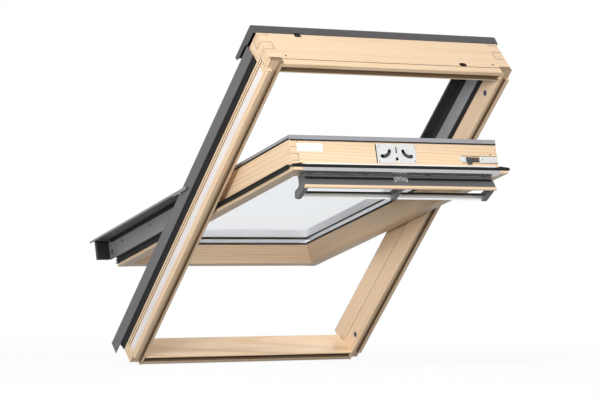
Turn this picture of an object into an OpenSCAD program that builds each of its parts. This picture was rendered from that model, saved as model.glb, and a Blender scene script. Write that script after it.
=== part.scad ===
// Centre-pivot roof window: frame, sash swung open, ventilation flap with control bar.
// Local frame while building: x across, y outwards through the roof, z up the slope.

/* [Frame] */
// Outer width of the frame
frame_w = 780; // [660:1:1140]
// Outer height of the frame up the slope
frame_h = 1178; // [978:1:1398]
// Depth of the frame timber, room face to weather face
frame_d = 122; // [112:0.5:134]
// Width of a frame stile seen from the room
stile_w = 37; // [36:0.5:44]
// Height of the frame head seen from the room
head_h = 33; // [31:0.5:40]
// Height of the frame sill at its room face
sill_h = 31; // [31:0.5:36]
// Roof slope the window is drawn at
roof_pitch = 45; // [15:1:75]
// Depth of the step on the inner faces, measured from the room face
step_at = 58; // [57:0.5:60]
// How far the inner faces stand back behind the step
step_back = 5; // [3:0.5:6]
// Width of the outer lip beside the lining groove
lip_w = 13; // [10:0.5:13]
// Width of the lining groove
groove_w = 15; // [12:0.5:15]
// Depth of the lining groove
groove_t = 11; // [8:0.5:12]
// Length of lip left off at each corner
lip_stop = 28; // [20:1:36]
// Depth of the first corner finger
comb_first = 24; // [21:0.5:27]
// Depth of the outer corner finger
comb_pitch = 28; // [24:0.5:30]
// Depth of timber left outside the outer finger
comb_rest = 8; // [6:0.5:10]

/* [Sash] */
// Opening angle of the sash in the stored pose
sash_open = 31; // [5:1:60]
// Clear gap between the sash rim and a frame stile
side_gap = 8; // [7:0.5:10]
// Clear gap between the sash rim and the sill
foot_gap = 3.5; // [3.5:0.5:6]
// Distance between the sash head and the frame head
head_gap = 52.5; // [50:0.5:60]
// How far the pivot lies below mid height
pivot_drop = 7; // [0:1:12]
// Distance of the pivot axis from the weather face of the frame
pivot_in = 12; // [11:0.5:13]
// Distance of the sash's room face from the frame's weather face
sash_in = 84.5; // [83:0.5:85]
// Depth of the sash timber
sash_d = 91.5; // [91:0.5:93]
// Width of a sash member, rim to daylight edge
member_w = 65; // [60:0.5:70]
// Width of the flat room face of a sash member
rim_w = 35; // [32:0.5:38]
// Step between the rim and the body of a sash member
rim_step = 12; // [11:0.5:13]
// Thickness of the rim
rim_t = 15; // [14:0.5:15.5]
// Height of the ventilation ledge above the sash head
ledge_h = 27; // [26:0.5:28]

/* [Glazing] */
// Thickness of each pane
pane_t = 4; // [3:0.5:4]
// Gas gap between the panes
pane_gap = 16; // [14:0.5:17]
// Depth of the glazing seat from the sash's room face
seat_at = 51.5; // [50:0.5:53]
// Width of the glazing seat
seat_w = 20; // [18:0.5:22]
// Thickness of the inner glazing seal
seal_t = 2; // [1.5:0.1:2.5]

/* [Cladding] */
// Sheet thickness of the covers
sheet_t = 1.5; // [1.2:0.1:1.8]
// Stand-off of the side cladding from the timber
clad_off = 6.5; // [6:0.1:7]
// Length of side cladding below the sill
clad_tail = 38; // [32:1:45]
// Depth of the sash covers above the sash timber
cover_h = 13; // [12:0.5:14]
// Start of the upper covers above the pivot
upper_start = 85; // [80:1:110]
// Start of the lower covers below the pivot
lower_start = 45; // [45:1:60]

/* [Pivot] */
// Radius of the pivot pin
pin_r = 8; // [6:0.5:9]
// Radial running clearance of pins
run_gap = 0.05; // [0.02:0.01:0.1]
// Thickness of the pivot plate on the frame
pivot_plate_t = 8; // [6:0.5:8]

/* [Flap and control bar] */
// Angle the flap is swung open in the stored pose
flap_open = 62; // [20:1:62]
// Distance from the sash rim to an end of the flap
flap_inset = 38; // [34:1:80]
// Thickness of a handle end across
bracket_w = 14; // [10:0.5:16]
// Height of the control bar
bar_h = 15; // [12:0.5:16]
// Thickness of the control bar
bar_t = 8; // [6:0.5:9]
// Radius of the flap hinge rod
rod_r = 2.5; // [2:0.1:2.5]

/* [Lock and bolt] */
// Width of the lock plate
lock_w = 126; // [110:1:140]
// Height of the lock plate
lock_h = 55; // [53:0.5:56]
// Travel of the lock hooks
hook_lift = 8; // [4:0.5:8]
// Radius of the barrel bolt
bolt_r = 4.5; // [3.5:0.1:4.5]
// Length of the slot the barrel bolt runs in
bolt_slot = 125; // [122:1:140]
// Outer radius of a bolt bush
bush_r = 8; // [7:0.5:9]
// Depth of the bolt bushes from the frame's room face
bush_at = 25; // [22:0.5:32]

/* [Hidden] */
$fn = 48;
// Tiny overlap used only inside cuts
cut = 1;
half_w = frame_w / 2;
in_half = half_w - stile_w;
back_half = in_half + step_back;
head_in = frame_h - head_h;
head_back = head_in + step_back;
comb_2 = step_at;
comb_4 = frame_d - comb_rest;
comb_3 = comb_4 - comb_pitch;
pivot_at = frame_d - pivot_in;
sash_at = frame_d - sash_in;
strip_w = stile_w - lip_w - groove_w;
seat_mid = step_at / 2;
sill_back = step_at + 20;
// Depth where the apron starts on the sill's fall
sill_drop = sill_h - 3;
// Rise of the apron where it leaves the sill and at the outer edge, falling at half a right angle
apron_top = sill_drop - 12;
apron_end = apron_top - (frame_d - sill_back - sheet_t);
apron_lip = 8;
// Notch in the head and the hood for a cable
notch_at = 117 - half_w;
notch_w = 20;
// Length of the hood down the slope and steps of its cheeks
hood_lap = 120;
cheek_lap = 118;
cheek_step = 110;
cheek_waist = 62;
cheek_root = 50;
sill_lift = 4;
rim_half = in_half - side_gap;
// Half width of the sill's outward fall, clear of the lower covers
apron_half = rim_half - 2;
body_half = rim_half - rim_step;
foot_z = sill_h + foot_gap;
top_z = head_in - head_gap;
ledge_z = top_z + ledge_h;
pivot_z = frame_h / 2 - pivot_drop;
sash_out = sash_at + sash_d;
rim_y = sash_at + rim_t;
seat_y = sash_at + seat_at;
day_half = rim_half - member_w;
day_low = foot_z + member_w;
day_high = top_z - member_w;
glass_half = day_half + seat_w - 3;
glass_low = day_low - seat_w + 3;
glass_high = day_high + seat_w - 3;
pane_1 = seat_y + seal_t;
pane_2 = pane_1 + pane_t + pane_gap;
glass_out = pane_2 + pane_t;
outer_seal_t = 2.5;
cover_y = sash_out + cover_h;
cover_foot = glass_out + outer_seal_t;
cover_in = day_half + 11;
cover_low = day_low - 8.5;
cover_high = day_high + 8.5;
sash_comb = [sash_at, rim_y, rim_y + 19, rim_y + 38, rim_y + 57, sash_out];
clad_x = half_w + clad_off;
clad_y = frame_d + sheet_t;
flange_y = clad_y + 2.5;
flange_x = clad_x + sheet_t + 4;
leg_x = rim_half + 1;
roof_y = cover_y + 8.5;
upper_z = pivot_z + upper_start;
lower_z = pivot_z - lower_start;
// Run of the lower cover's outer lip past the cover's end
lip_run = 82;
hood_z = frame_h + 2;
hinge_z = top_z - 6.5;
hinge_y = sash_at - 6;
bolt_y = sash_at + 46;
bolt_z = top_z - 7.5;
bolt_x = body_half - bolt_slot;
lock_y = sash_at + 58;
// Middle of the control bar from the flap hinge, flap open
bar_y = -44.5;
bar_rise = -40;
guide_r = 3;
// Middle and radius of a bent lock slot
hook_x = lock_w / 3;
hook_rise = 13;
// Depth and wall of the lock box, and rise of the hook plate
lock_deep = hook_lift + 14;
lock_wall = 1.5;
hook_z = top_z - hook_lift - 5;
hook_arc = lock_w / 6;
vent_y = sash_at - 1.5;
// Rise of a bush from the pivot at which the bolt meets it
bolt_reach = norm([bolt_z - pivot_z, bolt_y - pivot_at]);
bush_rise = sqrt(pow(bolt_reach, 2) - pow(pivot_at - bush_at, 2));
bush_high = pivot_z + bush_rise;
bush_low = pivot_z - bush_rise;
bush_t = 14;
// Swing at which the control bar and its ends are drawn
drawn_swing = 62;
flap_half = rim_half - flap_inset;
bar_half = flap_half - bracket_w;
bracket_half = bracket_w / 2;
vent_pitch = 52;
vent_slot = 36;
ledge_end_w = 27;
vent_half = rim_half - ledge_end_w - 0.5;
vent_n = floor((vent_half - vent_slot) / vent_pitch);
// Depths on the outer face of a stile
collar_at = 19;
collar_w = 23;
collar_t = 1.2;
kerf_at = 54.5;
kerf_low = collar_at + collar_w + 3;
kerf_w = 2.5;
kerf_t = 4;
// Holes in the frame timber
pilot_r = 3;
cable_w = 24;
cable_r = 7;
strip_seal_at = frame_d - 58;
skirt_at = frame_d - 40;
// Depth where the metal lining starts on the inner face of a stile
lining_at = step_at + 22;
lining_z = pivot_z + 43;
// Depth of the room edge of the lower covers
toe_y = rim_y + 15;
// Depth of the stop seal behind the ventilation ledge
stop_y = rim_y + 8.5;
tail_z = -4;
skirt_y = flange_y + 4.5;

// Places local shapes at the roof slope with the sill seat at the origin
module in_roof() {
  rotate([90 - roof_pitch, 0, 0])
    translate([0, -seat_mid, 0])
      children();
}

// Swings sash shapes, drawn closed, to the stored opening
module in_sash() {
  in_roof()
    translate([0, pivot_at, pivot_z])
      rotate([sash_open, 0, 0])
        translate([0, -pivot_at, -pivot_z])
          children();
}

// Swings flap shapes, drawn shut on the sash, to the stored opening
module in_flap() {
  in_sash()
    translate([0, hinge_y, hinge_z])
      rotate([flap_open, 0, 0])
        children();
}

// A bar along x with its section given in depth and rise
module bar_x(x0, x1, pts) {
  translate([x0, 0, 0])
    rotate([90, 0, 90])
      linear_extrude(x1 - x0)
        polygon(pts);
}

// A bar along z with its section given across and in depth
module bar_z(z0, z1, pts) {
  translate([0, 0, z0])
    linear_extrude(z1 - z0)
      polygon(pts);
}

// A box between two corners
module block(a, b) {
  translate(a)
    cube(b - a);
}

// A round rod along x
module rod_x(x0, x1, y, z, r) {
  translate([x0, y, z])
    rotate([0, 90, 0])
      cylinder(r = r, h = x1 - x0);
}

// A round hole or stud along z
module rod_z(x, y, z0, z1, r) {
  translate([x, y, z0])
    cylinder(r = r, h = z1 - z0);
}

// A slot with round ends, long across x, standing along z
module slot_z(x, y, z0, z1, length, r) {
  translate([x, y, z0])
    linear_extrude(z1 - z0)
      union() {
        square([length - 2 * r, 2 * r], center = true);
        translate([r - length / 2, 0])
          circle(r = r);
        translate([length / 2 - r, 0])
          circle(r = r);
      }
}

// A slot with round ends, long in depth, standing along z
module slot_y(x, y, z0, z1, length, r) {
  translate([x, y, z0])
    rotate([0, 0, 90])
      slot_z(0, 0, 0, z1 - z0, length, r);
}

// Everything between two depths
module slab(y0, y1) {
  intersection() {
    children();
    block([-2000, y0, -2000], [2000, y1, 3000]);
  }
}

// Depth bands where the frame rails run through the corners
module rail_bands() {
  slab(comb_first, comb_2)
    children();
  slab(comb_3, comb_4)
    children();
}

// Frame head section
module head_bar(half) {
  bar_x(-half, half, [[0, head_in], [step_at, head_in], [step_at, head_back], [frame_d, head_back],
    [frame_d, frame_h], [20, frame_h], [20, frame_h - 3], [18, frame_h - 3], [18, frame_h],
    [0, frame_h], [0, frame_h - lip_w], [groove_t, frame_h - lip_w],
    [groove_t, frame_h - lip_w - groove_w], [0, frame_h - lip_w - groove_w]]);
}

// Frame sill section with its outward fall
module sill_bar(half) {
  bar_x(-half, half, [[0, 0], [0, lip_w], [groove_t, lip_w], [groove_t, lip_w + groove_w],
    [0, lip_w + groove_w], [0, sill_h], [8, sill_h], [step_at, sill_h - 2],
    [sill_back, sill_drop], [sill_back, sill_lift], [step_at, sill_lift], [step_at, 0]]);
}

// Frame stile section, right hand
module stile_bar() {
  bar_z(0, frame_h, [[in_half, 0], [in_half + strip_w, 0], [in_half + strip_w, groove_t],
    [half_w - lip_w, groove_t], [half_w - lip_w, 0], [half_w, 0], [half_w, collar_at],
    [half_w - collar_t, collar_at], [half_w - collar_t, collar_at + collar_w],
    [half_w, collar_at + collar_w], [half_w, kerf_low], [half_w - kerf_t, kerf_low],
    [half_w - kerf_t, kerf_low + kerf_w], [half_w, kerf_low + kerf_w], [half_w, kerf_at],
    [half_w - kerf_t, kerf_at],
    [half_w - kerf_t, kerf_at + kerf_w], [half_w, kerf_at + kerf_w], [half_w, frame_d],
    [back_half, frame_d], [back_half, step_at],
    [in_half, step_at]]);
}

// Frame stile with corner fingers, right hand
module stile_right() {
  difference() {
    stile_bar();
    rail_bands()
      head_bar(half_w + cut);
    slab(comb_first, comb_2)
      sill_bar(half_w + cut);
    block([in_half + strip_w, -cut, -cut], [half_w + cut, groove_t, lip_stop]);
    block([in_half + strip_w, -cut, frame_h - lip_stop], [half_w + cut, groove_t, frame_h + cut]);
    for (z = [77, frame_h - 77])
      rod_x(half_w - 12, half_w + cut, 70, z, pilot_r);
  }
}

module frame_head() {
  color("burlywood")
    in_roof()
      difference() {
        union() {
          slab(0, step_at)
            head_bar(in_half);
          slab(step_at, frame_d)
            head_bar(back_half);
          rail_bands()
            head_bar(half_w);
        }
        slot_z(half_w - 158, 27, head_in - cut, frame_h + cut, cable_w, cable_r);
        block([notch_at, frame_d - 10, frame_h - 6], [notch_at + notch_w, frame_d + cut, frame_h + cut]);
        for (x = [55 - half_w, half_w - 55])
          rod_z(x, 32, frame_h - 14, frame_h + cut, pilot_r);
      }
}

module frame_sill() {
  color("burlywood")
    in_roof()
      union() {
        slab(0, step_at)
          sill_bar(in_half);
        slab(step_at, frame_d)
          sill_bar(apron_half);
        slab(comb_first, comb_2)
          sill_bar(half_w);
      }
}

module frame_stile_left() {
  color("burlywood")
    in_roof()
      mirror([1, 0, 0])
        stile_right();
}

module frame_stile_right() {
  color("burlywood")
    in_roof()
      difference() {
        stile_right();
        rod_x(in_half - cut, in_half + bush_t, bush_at, bush_high, bush_r);
        rod_x(in_half - cut, in_half + bush_t, bush_at, bush_low, bush_r);
      }
}

// Pale collar strip let into the outer face, right hand
module collar_strip() {
  block([half_w - collar_t, collar_at, 37], [half_w - 0.2, collar_at + collar_w, frame_h - 55]);
}

module collar_strip_left() {
  color("lavender")
    in_roof()
      mirror([1, 0, 0])
        collar_strip();
}

module collar_strip_right() {
  color("lavender")
    in_roof()
      collar_strip();
}

// Hood over the frame head with a rolled nose and stepped cheeks
module hood() {
  color("dimgray")
    in_roof()
      difference() {
        union() {
          bar_x(-clad_x, clad_x, [[frame_d, frame_h], [frame_d + 4, frame_h + 0.5],
            [roof_y - 4, hood_z + 1], [roof_y + sheet_t, hood_z - 1], [roof_y + 2 * sheet_t, hood_z - 8],
            [roof_y + 2 * sheet_t, hood_z - hood_lap], [roof_y + sheet_t, hood_z - hood_lap],
            [roof_y + sheet_t, hood_z - 9], [roof_y - 4, hood_z - 3], [frame_d + 4, frame_h - 1.5],
            [frame_d, frame_h - 1.5]]);
          for (x = [-clad_x, clad_x - sheet_t])
            bar_x(x, x + sheet_t, [[frame_d + 6, hood_z - cheek_root], [frame_d + 4, frame_h],
              [roof_y - 4, hood_z], [roof_y + sheet_t, hood_z - 4], [roof_y + sheet_t, hood_z - cheek_lap],
              [roof_y - 10, hood_z - cheek_lap], [roof_y - 10, hood_z - cheek_step],
              [frame_d + 14, hood_z - cheek_step], [frame_d + 14, hood_z - cheek_waist]]);
        }
        block([notch_at, frame_d - cut, frame_h - 6], [notch_at + notch_w, frame_d + 6, frame_h + 6]);
      }
}

// Upper cover over a frame stile, right hand
module upper_cover() {
  bar_z(upper_z, hood_z - 14, [[half_w - 2, clad_y], [half_w - 2, clad_y + 2.5], [half_w - 14, roof_y - 1],
    [half_w - 18, roof_y + sheet_t], [in_half - 28, roof_y + sheet_t], [in_half - 28, roof_y - 5],
    [in_half - 26.5, roof_y - 5], [in_half - 26.5, roof_y], [back_half + 2, roof_y],
    [back_half + 2, clad_y], [back_half + 3.5, clad_y], [back_half + 3.5, roof_y],
    [half_w - 18.6, roof_y], [half_w - 15.3, roof_y - 1.6], [half_w - 3.5, clad_y + 2.2],
    [half_w - 3.5, clad_y]]);
}

module upper_cover_left() {
  color("dimgray")
    in_roof()
      mirror([1, 0, 0])
        upper_cover();
}

module upper_cover_right() {
  color("dimgray")
    in_roof()
      upper_cover();
}

// Side cladding of the frame, right hand
module side_cladding() {
  bar_z(0, frame_h - 50, [[back_half, frame_d], [clad_x, frame_d], [clad_x, skirt_at],
    [clad_x + sheet_t, skirt_at], [clad_x + sheet_t, clad_y], [back_half, clad_y]]);
  bar_z(-clad_tail, 0, [[clad_x, skirt_at], [clad_x + sheet_t, skirt_at], [clad_x + sheet_t, clad_y],
    [clad_x, clad_y]]);
}

module side_cladding_left() {
  color("dimgray")
    in_roof()
      mirror([1, 0, 0])
        side_cladding();
}

module side_cladding_right() {
  color("dimgray")
    in_roof()
      side_cladding();
}

// Black strip under the edge of the side cladding, right hand
module side_seal() {
  bar_z(0, frame_h - 52, [[half_w, strip_seal_at], [half_w + 2.5, strip_seal_at],
    [half_w + 4, strip_seal_at + 3], [half_w + 4, strip_seal_at + 10], [clad_x, strip_seal_at + 13],
    [clad_x, strip_seal_at + 26], [half_w, strip_seal_at + 26]]);
}

module side_seal_left() {
  color("black")
    in_roof()
      mirror([1, 0, 0])
        side_seal();
}

module side_seal_right() {
  color("black")
    in_roof()
      side_seal();
}

// Metal lining on the upper inner face of a stile, right hand
module lining_strip() {
  difference() {
    bar_z(lining_z, head_back, [[back_half, lining_at], [back_half - 2, lining_at],
      [back_half - 2, frame_d - 8], [back_half - 3.5, frame_d - 4], [back_half - 3.5, frame_d],
      [back_half, frame_d]]);
    translate([back_half - 4, lining_at, head_in - 40])
      rotate([-38, 0, 0])
        cube([3, 70, 1.2]);
  }
}

module lining_strip_left() {
  color("slategray")
    in_roof()
      mirror([1, 0, 0])
        lining_strip();
}

module lining_strip_right() {
  color("slategray")
    in_roof()
      lining_strip();
}

// Black stop seal on the upper inner face of a stile, right hand
module upper_seal() {
  bar_z(lining_z, head_back, [[back_half, step_at], [back_half - 2.6, step_at],
    [back_half - 2.6, step_at + 8], [back_half - 4, step_at + 11], [back_half - 4, step_at + 15],
    [back_half - 2, step_at + 18], [back_half - 2, lining_at], [back_half, lining_at]]);
}

module upper_seal_left() {
  color("black")
    in_roof()
      mirror([1, 0, 0])
        upper_seal();
}

module upper_seal_right() {
  color("black")
    in_roof()
      upper_seal();
}

// Stop seal hanging from the frame head behind the ventilation ledge
module head_stop_seal() {
  color("black")
    in_roof()
      bar_x(10 - in_half, in_half - 10, [[stop_y, head_back], [stop_y, ledge_z - 6],
        [stop_y + 2, ledge_z - 8], [stop_y + 4, ledge_z - 6], [stop_y + 4, head_back]]);
}

// Metal apron on the outer face of the sill
module sill_cover() {
  color("dimgray")
    in_roof()
      bar_x(-apron_half, apron_half, [[sill_back, sill_drop - 1], [sill_back + sheet_t, sill_drop - 1],
        [sill_back + sheet_t, apron_top], [frame_d, apron_end], [frame_d, apron_end - apron_lip],
        [frame_d - sheet_t, apron_end - apron_lip], [frame_d - sheet_t, apron_end - 0.5 * sheet_t],
        [sill_back, apron_top - 0.5 * sheet_t]]);
}

// Striker under the frame head: a foot plate and a hanging tongue
module striker() {
  color("silver")
    in_roof()
      difference() {
        union() {
          block([-46, lock_y - 29.5, head_back - 1.5], [46, frame_d - 8, head_back]);
          block([-40, lock_y - 22, top_z + 6.5], [40, lock_y - 19, head_back - 1.5]);
        }
        for (x = [-36, 36])
          for (y = [lock_y - 13.5, frame_d - 16])
            rod_z(x, y, head_back - 3, head_back + cut, 2.2);
        for (x = [-26, 26])
          block([x - 10, lock_y - 23, top_z + 14], [x + 10, lock_y - 18, top_z + 34]);
      }
}

// Pivot plate on a frame stile, right hand
module pivot_plate() {
  difference() {
    union() {
      block([back_half - pivot_plate_t, pivot_at - 22, pivot_z - 24], [back_half, frame_d, pivot_z + 24]);
      block([back_half - 3, pivot_at - 22, pivot_z - 38], [back_half, frame_d, pivot_z + 38]);
    }
    rod_x(back_half - pivot_plate_t - cut, back_half + cut, pivot_at, pivot_z, pin_r + run_gap);
    for (z = [pivot_z - 31, pivot_z + 31])
      rod_x(back_half - 4, back_half + cut, pivot_at - 5, z, 2.5);
  }
}

module pivot_plate_left() {
  color("silver")
    in_roof()
      mirror([1, 0, 0])
        pivot_plate();
}

module pivot_plate_right() {
  color("silver")
    in_roof()
      pivot_plate();
}

// Bush that receives the barrel bolt
module bolt_bush(at) {
  difference() {
    rod_x(in_half, in_half + bush_t, bush_at, at, bush_r);
    rod_x(in_half - cut, in_half + bush_t - 2, bush_at, at, bolt_r + 0.8);
  }
}

module bolt_bush_upper() {
  color("black")
    in_roof()
      bolt_bush(bush_high);
}

module bolt_bush_lower() {
  color("black")
    in_roof()
      bolt_bush(bush_low);
}

// Sash head section
module sash_head_bar() {
  bar_x(-rim_half, rim_half, [[sash_at, top_z - rim_w], [seat_y, day_high], [seat_y, day_high + seat_w],
    [sash_out, day_high + seat_w], [sash_out, top_z], [sash_at, top_z]]);
}

// Sash foot section
module sash_foot_bar() {
  bar_x(-rim_half, rim_half, [[sash_at, foot_z], [sash_at, foot_z + rim_w], [seat_y, day_low],
    [seat_y, day_low - seat_w], [sash_out, day_low - seat_w], [sash_out, foot_z + rim_step],
    [rim_y, foot_z + rim_step], [rim_y, foot_z]]);
}

// Sash stile section, right hand
module sash_stile_bar() {
  bar_z(foot_z, ledge_z, [[rim_half, sash_at], [rim_half, rim_y], [body_half, rim_y], [body_half, sash_out],
    [day_half + seat_w, sash_out], [day_half + seat_w, seat_y], [day_half, seat_y],
    [rim_half - rim_w, sash_at]]);
}

// Outline of a sash stile in one depth band, right hand
// low and high are the ends of the part outside the mitre
module stile_zone(y0, y1, through, out, low, high) {
  low_end = through ? low : foot_z + rim_w;
  high_end = through ? high : top_z - rim_w;
  translate([0, y1, 0])
    rotate([90, 0, 0])
      linear_extrude(y1 - y0)
        polygon([[out, low_end], [rim_half - rim_w, low_end], [rim_half - rim_w, foot_z + rim_w],
          [day_half - 5, day_low + 5], [day_half - 5, day_high - 5], [rim_half - rim_w, top_z - rim_w],
          [rim_half - rim_w, high_end], [out, high_end]]);
}

// All bands of a sash stile, right hand
module stile_zones() {
  stile_zone(sash_comb[0], sash_comb[1], true, rim_half, foot_z, top_z);
  stile_zone(sash_comb[1], sash_comb[2], false, body_half, foot_z + rim_step, top_z);
  stile_zone(sash_comb[2], sash_comb[3], true, body_half, foot_z + rim_step, top_z);
  stile_zone(sash_comb[3], sash_comb[4], false, body_half, foot_z + rim_step, top_z);
  stile_zone(sash_comb[4], sash_comb[5], true, body_half, foot_z + rim_step, top_z);
}

// Ends of the ledge carried up from the sash stiles, right hand
module ledge_end() {
  block([rim_half - ledge_end_w, sash_at, top_z], [rim_half, rim_y, ledge_z]);
}

// Slot of the barrel bolt in the top of the sash head
module bolt_cut() {
  block([bolt_x + 7, bolt_y - 7, top_z - 14], [rim_half + cut, bolt_y + 7, top_z + cut]);
  rod_z(bolt_x + 7, bolt_y, top_z - 14, top_z + cut, 7);
}

// Sash stile with its corner fingers, right hand
module sash_stile() {
  union() {
    intersection() {
      sash_stile_bar();
      stile_zones();
    }
    ledge_end();
  }
}

module sash_stile_right() {
  color("wheat")
    in_sash()
      difference() {
        sash_stile();
        bolt_cut();
      }
}

module sash_stile_left() {
  color("wheat")
    in_sash()
      mirror([1, 0, 0])
        sash_stile();
}

module sash_head() {
  color("wheat")
    in_sash()
      difference() {
        intersection() {
          sash_head_bar();
          block([-rim_half, sash_at, 0], [rim_half, sash_out, frame_h]);
          union() {
            block([-body_half, rim_y, 0], [body_half, sash_out, frame_h]);
            block([-rim_half, sash_at, 0], [rim_half, rim_y, frame_h]);
          }
        }
        stile_zones();
        mirror([1, 0, 0])
          stile_zones();
        bolt_cut();
        block([-lock_w / 2 + 8, lock_y - 20, top_z - lock_deep], [lock_w / 2 - 8, lock_y + 20, top_z + cut]);
      }
}

module sash_foot() {
  color("wheat")
    in_sash()
      difference() {
        intersection() {
          sash_foot_bar();
          union() {
            block([-body_half, rim_y, 0], [body_half, sash_out, frame_h]);
            block([-rim_half, sash_at, 0], [rim_half, rim_y, frame_h]);
          }
        }
        stile_zones();
        mirror([1, 0, 0])
          stile_zones();
      }
}

module inner_pane() {
  color("aliceblue", 0.4)
    in_sash()
      block([-glass_half, pane_1, glass_low], [glass_half, pane_1 + pane_t, glass_high]);
}

module outer_pane() {
  color("aliceblue", 0.4)
    in_sash()
      block([-glass_half, pane_2, glass_low], [glass_half, glass_out, glass_high]);
}

// A rectangular ring between an outer and an inner outline
module ring(out_half, out_low, out_high, in_half_w, in_low, in_high, y0, y1) {
  difference() {
    block([-out_half, y0, out_low], [out_half, y1, out_high]);
    block([-in_half_w, y0 - cut, in_low], [in_half_w, y1 + cut, in_high]);
  }
}

module glass_spacer() {
  color("gray")
    in_sash()
      ring(glass_half - 5, glass_low + 5, glass_high - 5, day_half + 1, day_low - 1, day_high + 1,
        pane_1 + pane_t, pane_2);
}

module inner_glazing_seal() {
  color("black")
    in_sash()
      ring(glass_half, glass_low, glass_high, day_half + 0.5, day_low - 0.5, day_high + 0.5, seat_y, pane_1);
}

module outer_glazing_seal() {
  color("black")
    in_sash()
      ring(glass_half, glass_low, glass_high, cover_in - 2, cover_low + 2, cover_high - 2,
        glass_out, cover_foot);
}

// Weather seal on the sash rim with a thin outer lip
module sash_seal() {
  color("black")
    in_sash()
      union() {
        for (s = [0, 1])
          mirror([s, 0, 0])
            bar_z(foot_z, top_z + cut, [[body_half, rim_y], [rim_half, rim_y], [rim_half, rim_y - 5],
              [rim_half + 5.5, rim_y - 7], [rim_half + 6.5, rim_y - 5.5], [rim_half + 2, rim_y - 1.5],
              [rim_half + 2, rim_y + 3], [rim_half + 5, rim_y + 5.5], [rim_half + 4.5, rim_y + 6.5],
              [rim_half - 2, rim_y + 6],
              [body_half, rim_y + 5]]);
        bar_x(-body_half - cut, body_half + cut, [[rim_y, foot_z + rim_step], [rim_y, foot_z],
          [rim_y + 2, foot_z - 1],
          [rim_y + 5, foot_z + 1], [rim_y + 6, foot_z + rim_step]]);
        for (s = [0, 1])
          mirror([s, 0, 0])
            bar_z(top_z, ledge_z + cut, [[rim_half - ledge_end_w, rim_y], [rim_half + 1, rim_y],
              [rim_half + 6, rim_y - 3],
              [rim_half + 6.5, rim_y - 2], [rim_half + 1.5, rim_y + 2],
              [rim_half - ledge_end_w, rim_y + 5]]);
        bar_x(-rim_half - 4, rim_half + 4, [[rim_y - 7, ledge_z], [rim_y - 4, ledge_z + 2.5],
          [rim_y - 2, ledge_z + 2.5], [rim_y, ledge_z + 1], [rim_y + 2, ledge_z], [rim_y, ledge_z]]);
        bar_x(-vent_half, vent_half, [[rim_y - 7, ledge_z - 7], [rim_y, ledge_z - 7],
          [rim_y, ledge_z + cut],
          [rim_y - 5, ledge_z + cut], [rim_y - 7, ledge_z]]);
      }
}

// Lower cover of the sash, right hand
module lower_cover() {
  difference() {
    union() {
      bar_z(cover_low, lower_z, [[flange_x + sheet_t, flange_y - 4.5],
        [flange_x + sheet_t, flange_y + sheet_t],
        [leg_x + 6, flange_y + sheet_t], [leg_x - 6, cover_y], [cover_in, cover_y], [cover_in, cover_foot],
        [cover_in + sheet_t, cover_foot], [cover_in + sheet_t, cover_y - sheet_t],
        [leg_x - 6.6, cover_y - sheet_t], [leg_x, cover_y - sheet_t - 8], [leg_x, toe_y + sheet_t],
        [body_half, toe_y + sheet_t], [body_half, toe_y], [leg_x + sheet_t, toe_y],
        [leg_x + sheet_t, flange_y],
        [flange_x, flange_y], [flange_x, flange_y - 4.5]]);
      bar_z(tail_z, cover_low, [[flange_x + sheet_t, flange_y - 4.5],
        [flange_x + sheet_t, flange_y + sheet_t],
        [leg_x, flange_y + sheet_t], [leg_x, toe_y + sheet_t], [body_half, toe_y + sheet_t],
        [body_half, toe_y], [leg_x + sheet_t, toe_y], [leg_x + sheet_t, flange_y], [flange_x, flange_y],
        [flange_x, flange_y - 4.5]]);
      bar_z(tail_z - 14, tail_z, [[flange_x + sheet_t, flange_y - 4.5],
        [flange_x + sheet_t, flange_y + sheet_t],
        [leg_x, flange_y + sheet_t], [leg_x, flange_y], [flange_x, flange_y],
        [flange_x, flange_y - 4.5]]);
      bar_z(lower_z, lower_z + lip_run, [[flange_x + sheet_t, flange_y - 8],
        [flange_x + sheet_t, flange_y + sheet_t], [flange_x - 2.5, flange_y + sheet_t],
        [flange_x - 2.5, flange_y], [flange_x, flange_y], [flange_x, flange_y - 8]]);
    }
    block([body_half - cut, toe_y - cut, tail_z - 16], [leg_x, toe_y + sheet_t + 0.5, foot_z + rim_step]);
    for (z = [85, 273])
      block([leg_x - 5, toe_y + 33.5, z], [leg_x + 3, toe_y + 45.5, z + 3]);
    translate([leg_x - 2, toe_y + 21.5, tail_z + 16])
      rotate([0, 90, 0])
        cylinder(r = 5, h = 6);
  }
}

module lower_cover_left() {
  color("dimgray")
    in_sash()
      mirror([1, 0, 0])
        lower_cover();
}

module lower_cover_right() {
  color("dimgray")
    in_sash()
      lower_cover();
}

// Foot cover of the sash with a skirt over the sill
module foot_cover() {
  color("dimgray")
    in_sash()
      union() {
        bar_x(-leg_x, leg_x, [[cover_y - sheet_t, cover_low], [cover_y, cover_low], [cover_y, foot_z + 9.5],
          [skirt_y + sheet_t, foot_z - 10.5], [skirt_y + sheet_t, tail_z - 12], [skirt_y, tail_z - 12],
          [skirt_y, foot_z - 10.1], [cover_y - sheet_t, foot_z + 9.9], [cover_y - sheet_t, foot_z + 25.5],
          [sash_out, foot_z + 25.5], [sash_out, foot_z + 27], [cover_y - sheet_t, foot_z + 27]]);
        block([-cover_in, cover_foot, cover_low - sheet_t], [cover_in, cover_y, cover_low]);
      }
}

// Head cover of the sash
module head_cover() {
  color("gray")
    in_sash()
      union() {
        bar_x(-body_half, body_half, [[cover_y - sheet_t, cover_high],
          [cover_y, cover_high],
          [cover_y, top_z + sheet_t], [sash_out - 3, top_z + sheet_t], [sash_out - 3, top_z],
          [cover_y - sheet_t, top_z]]);
        block([-cover_in, cover_foot, cover_high], [cover_in, cover_y, cover_high + sheet_t]);
      }
}

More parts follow.
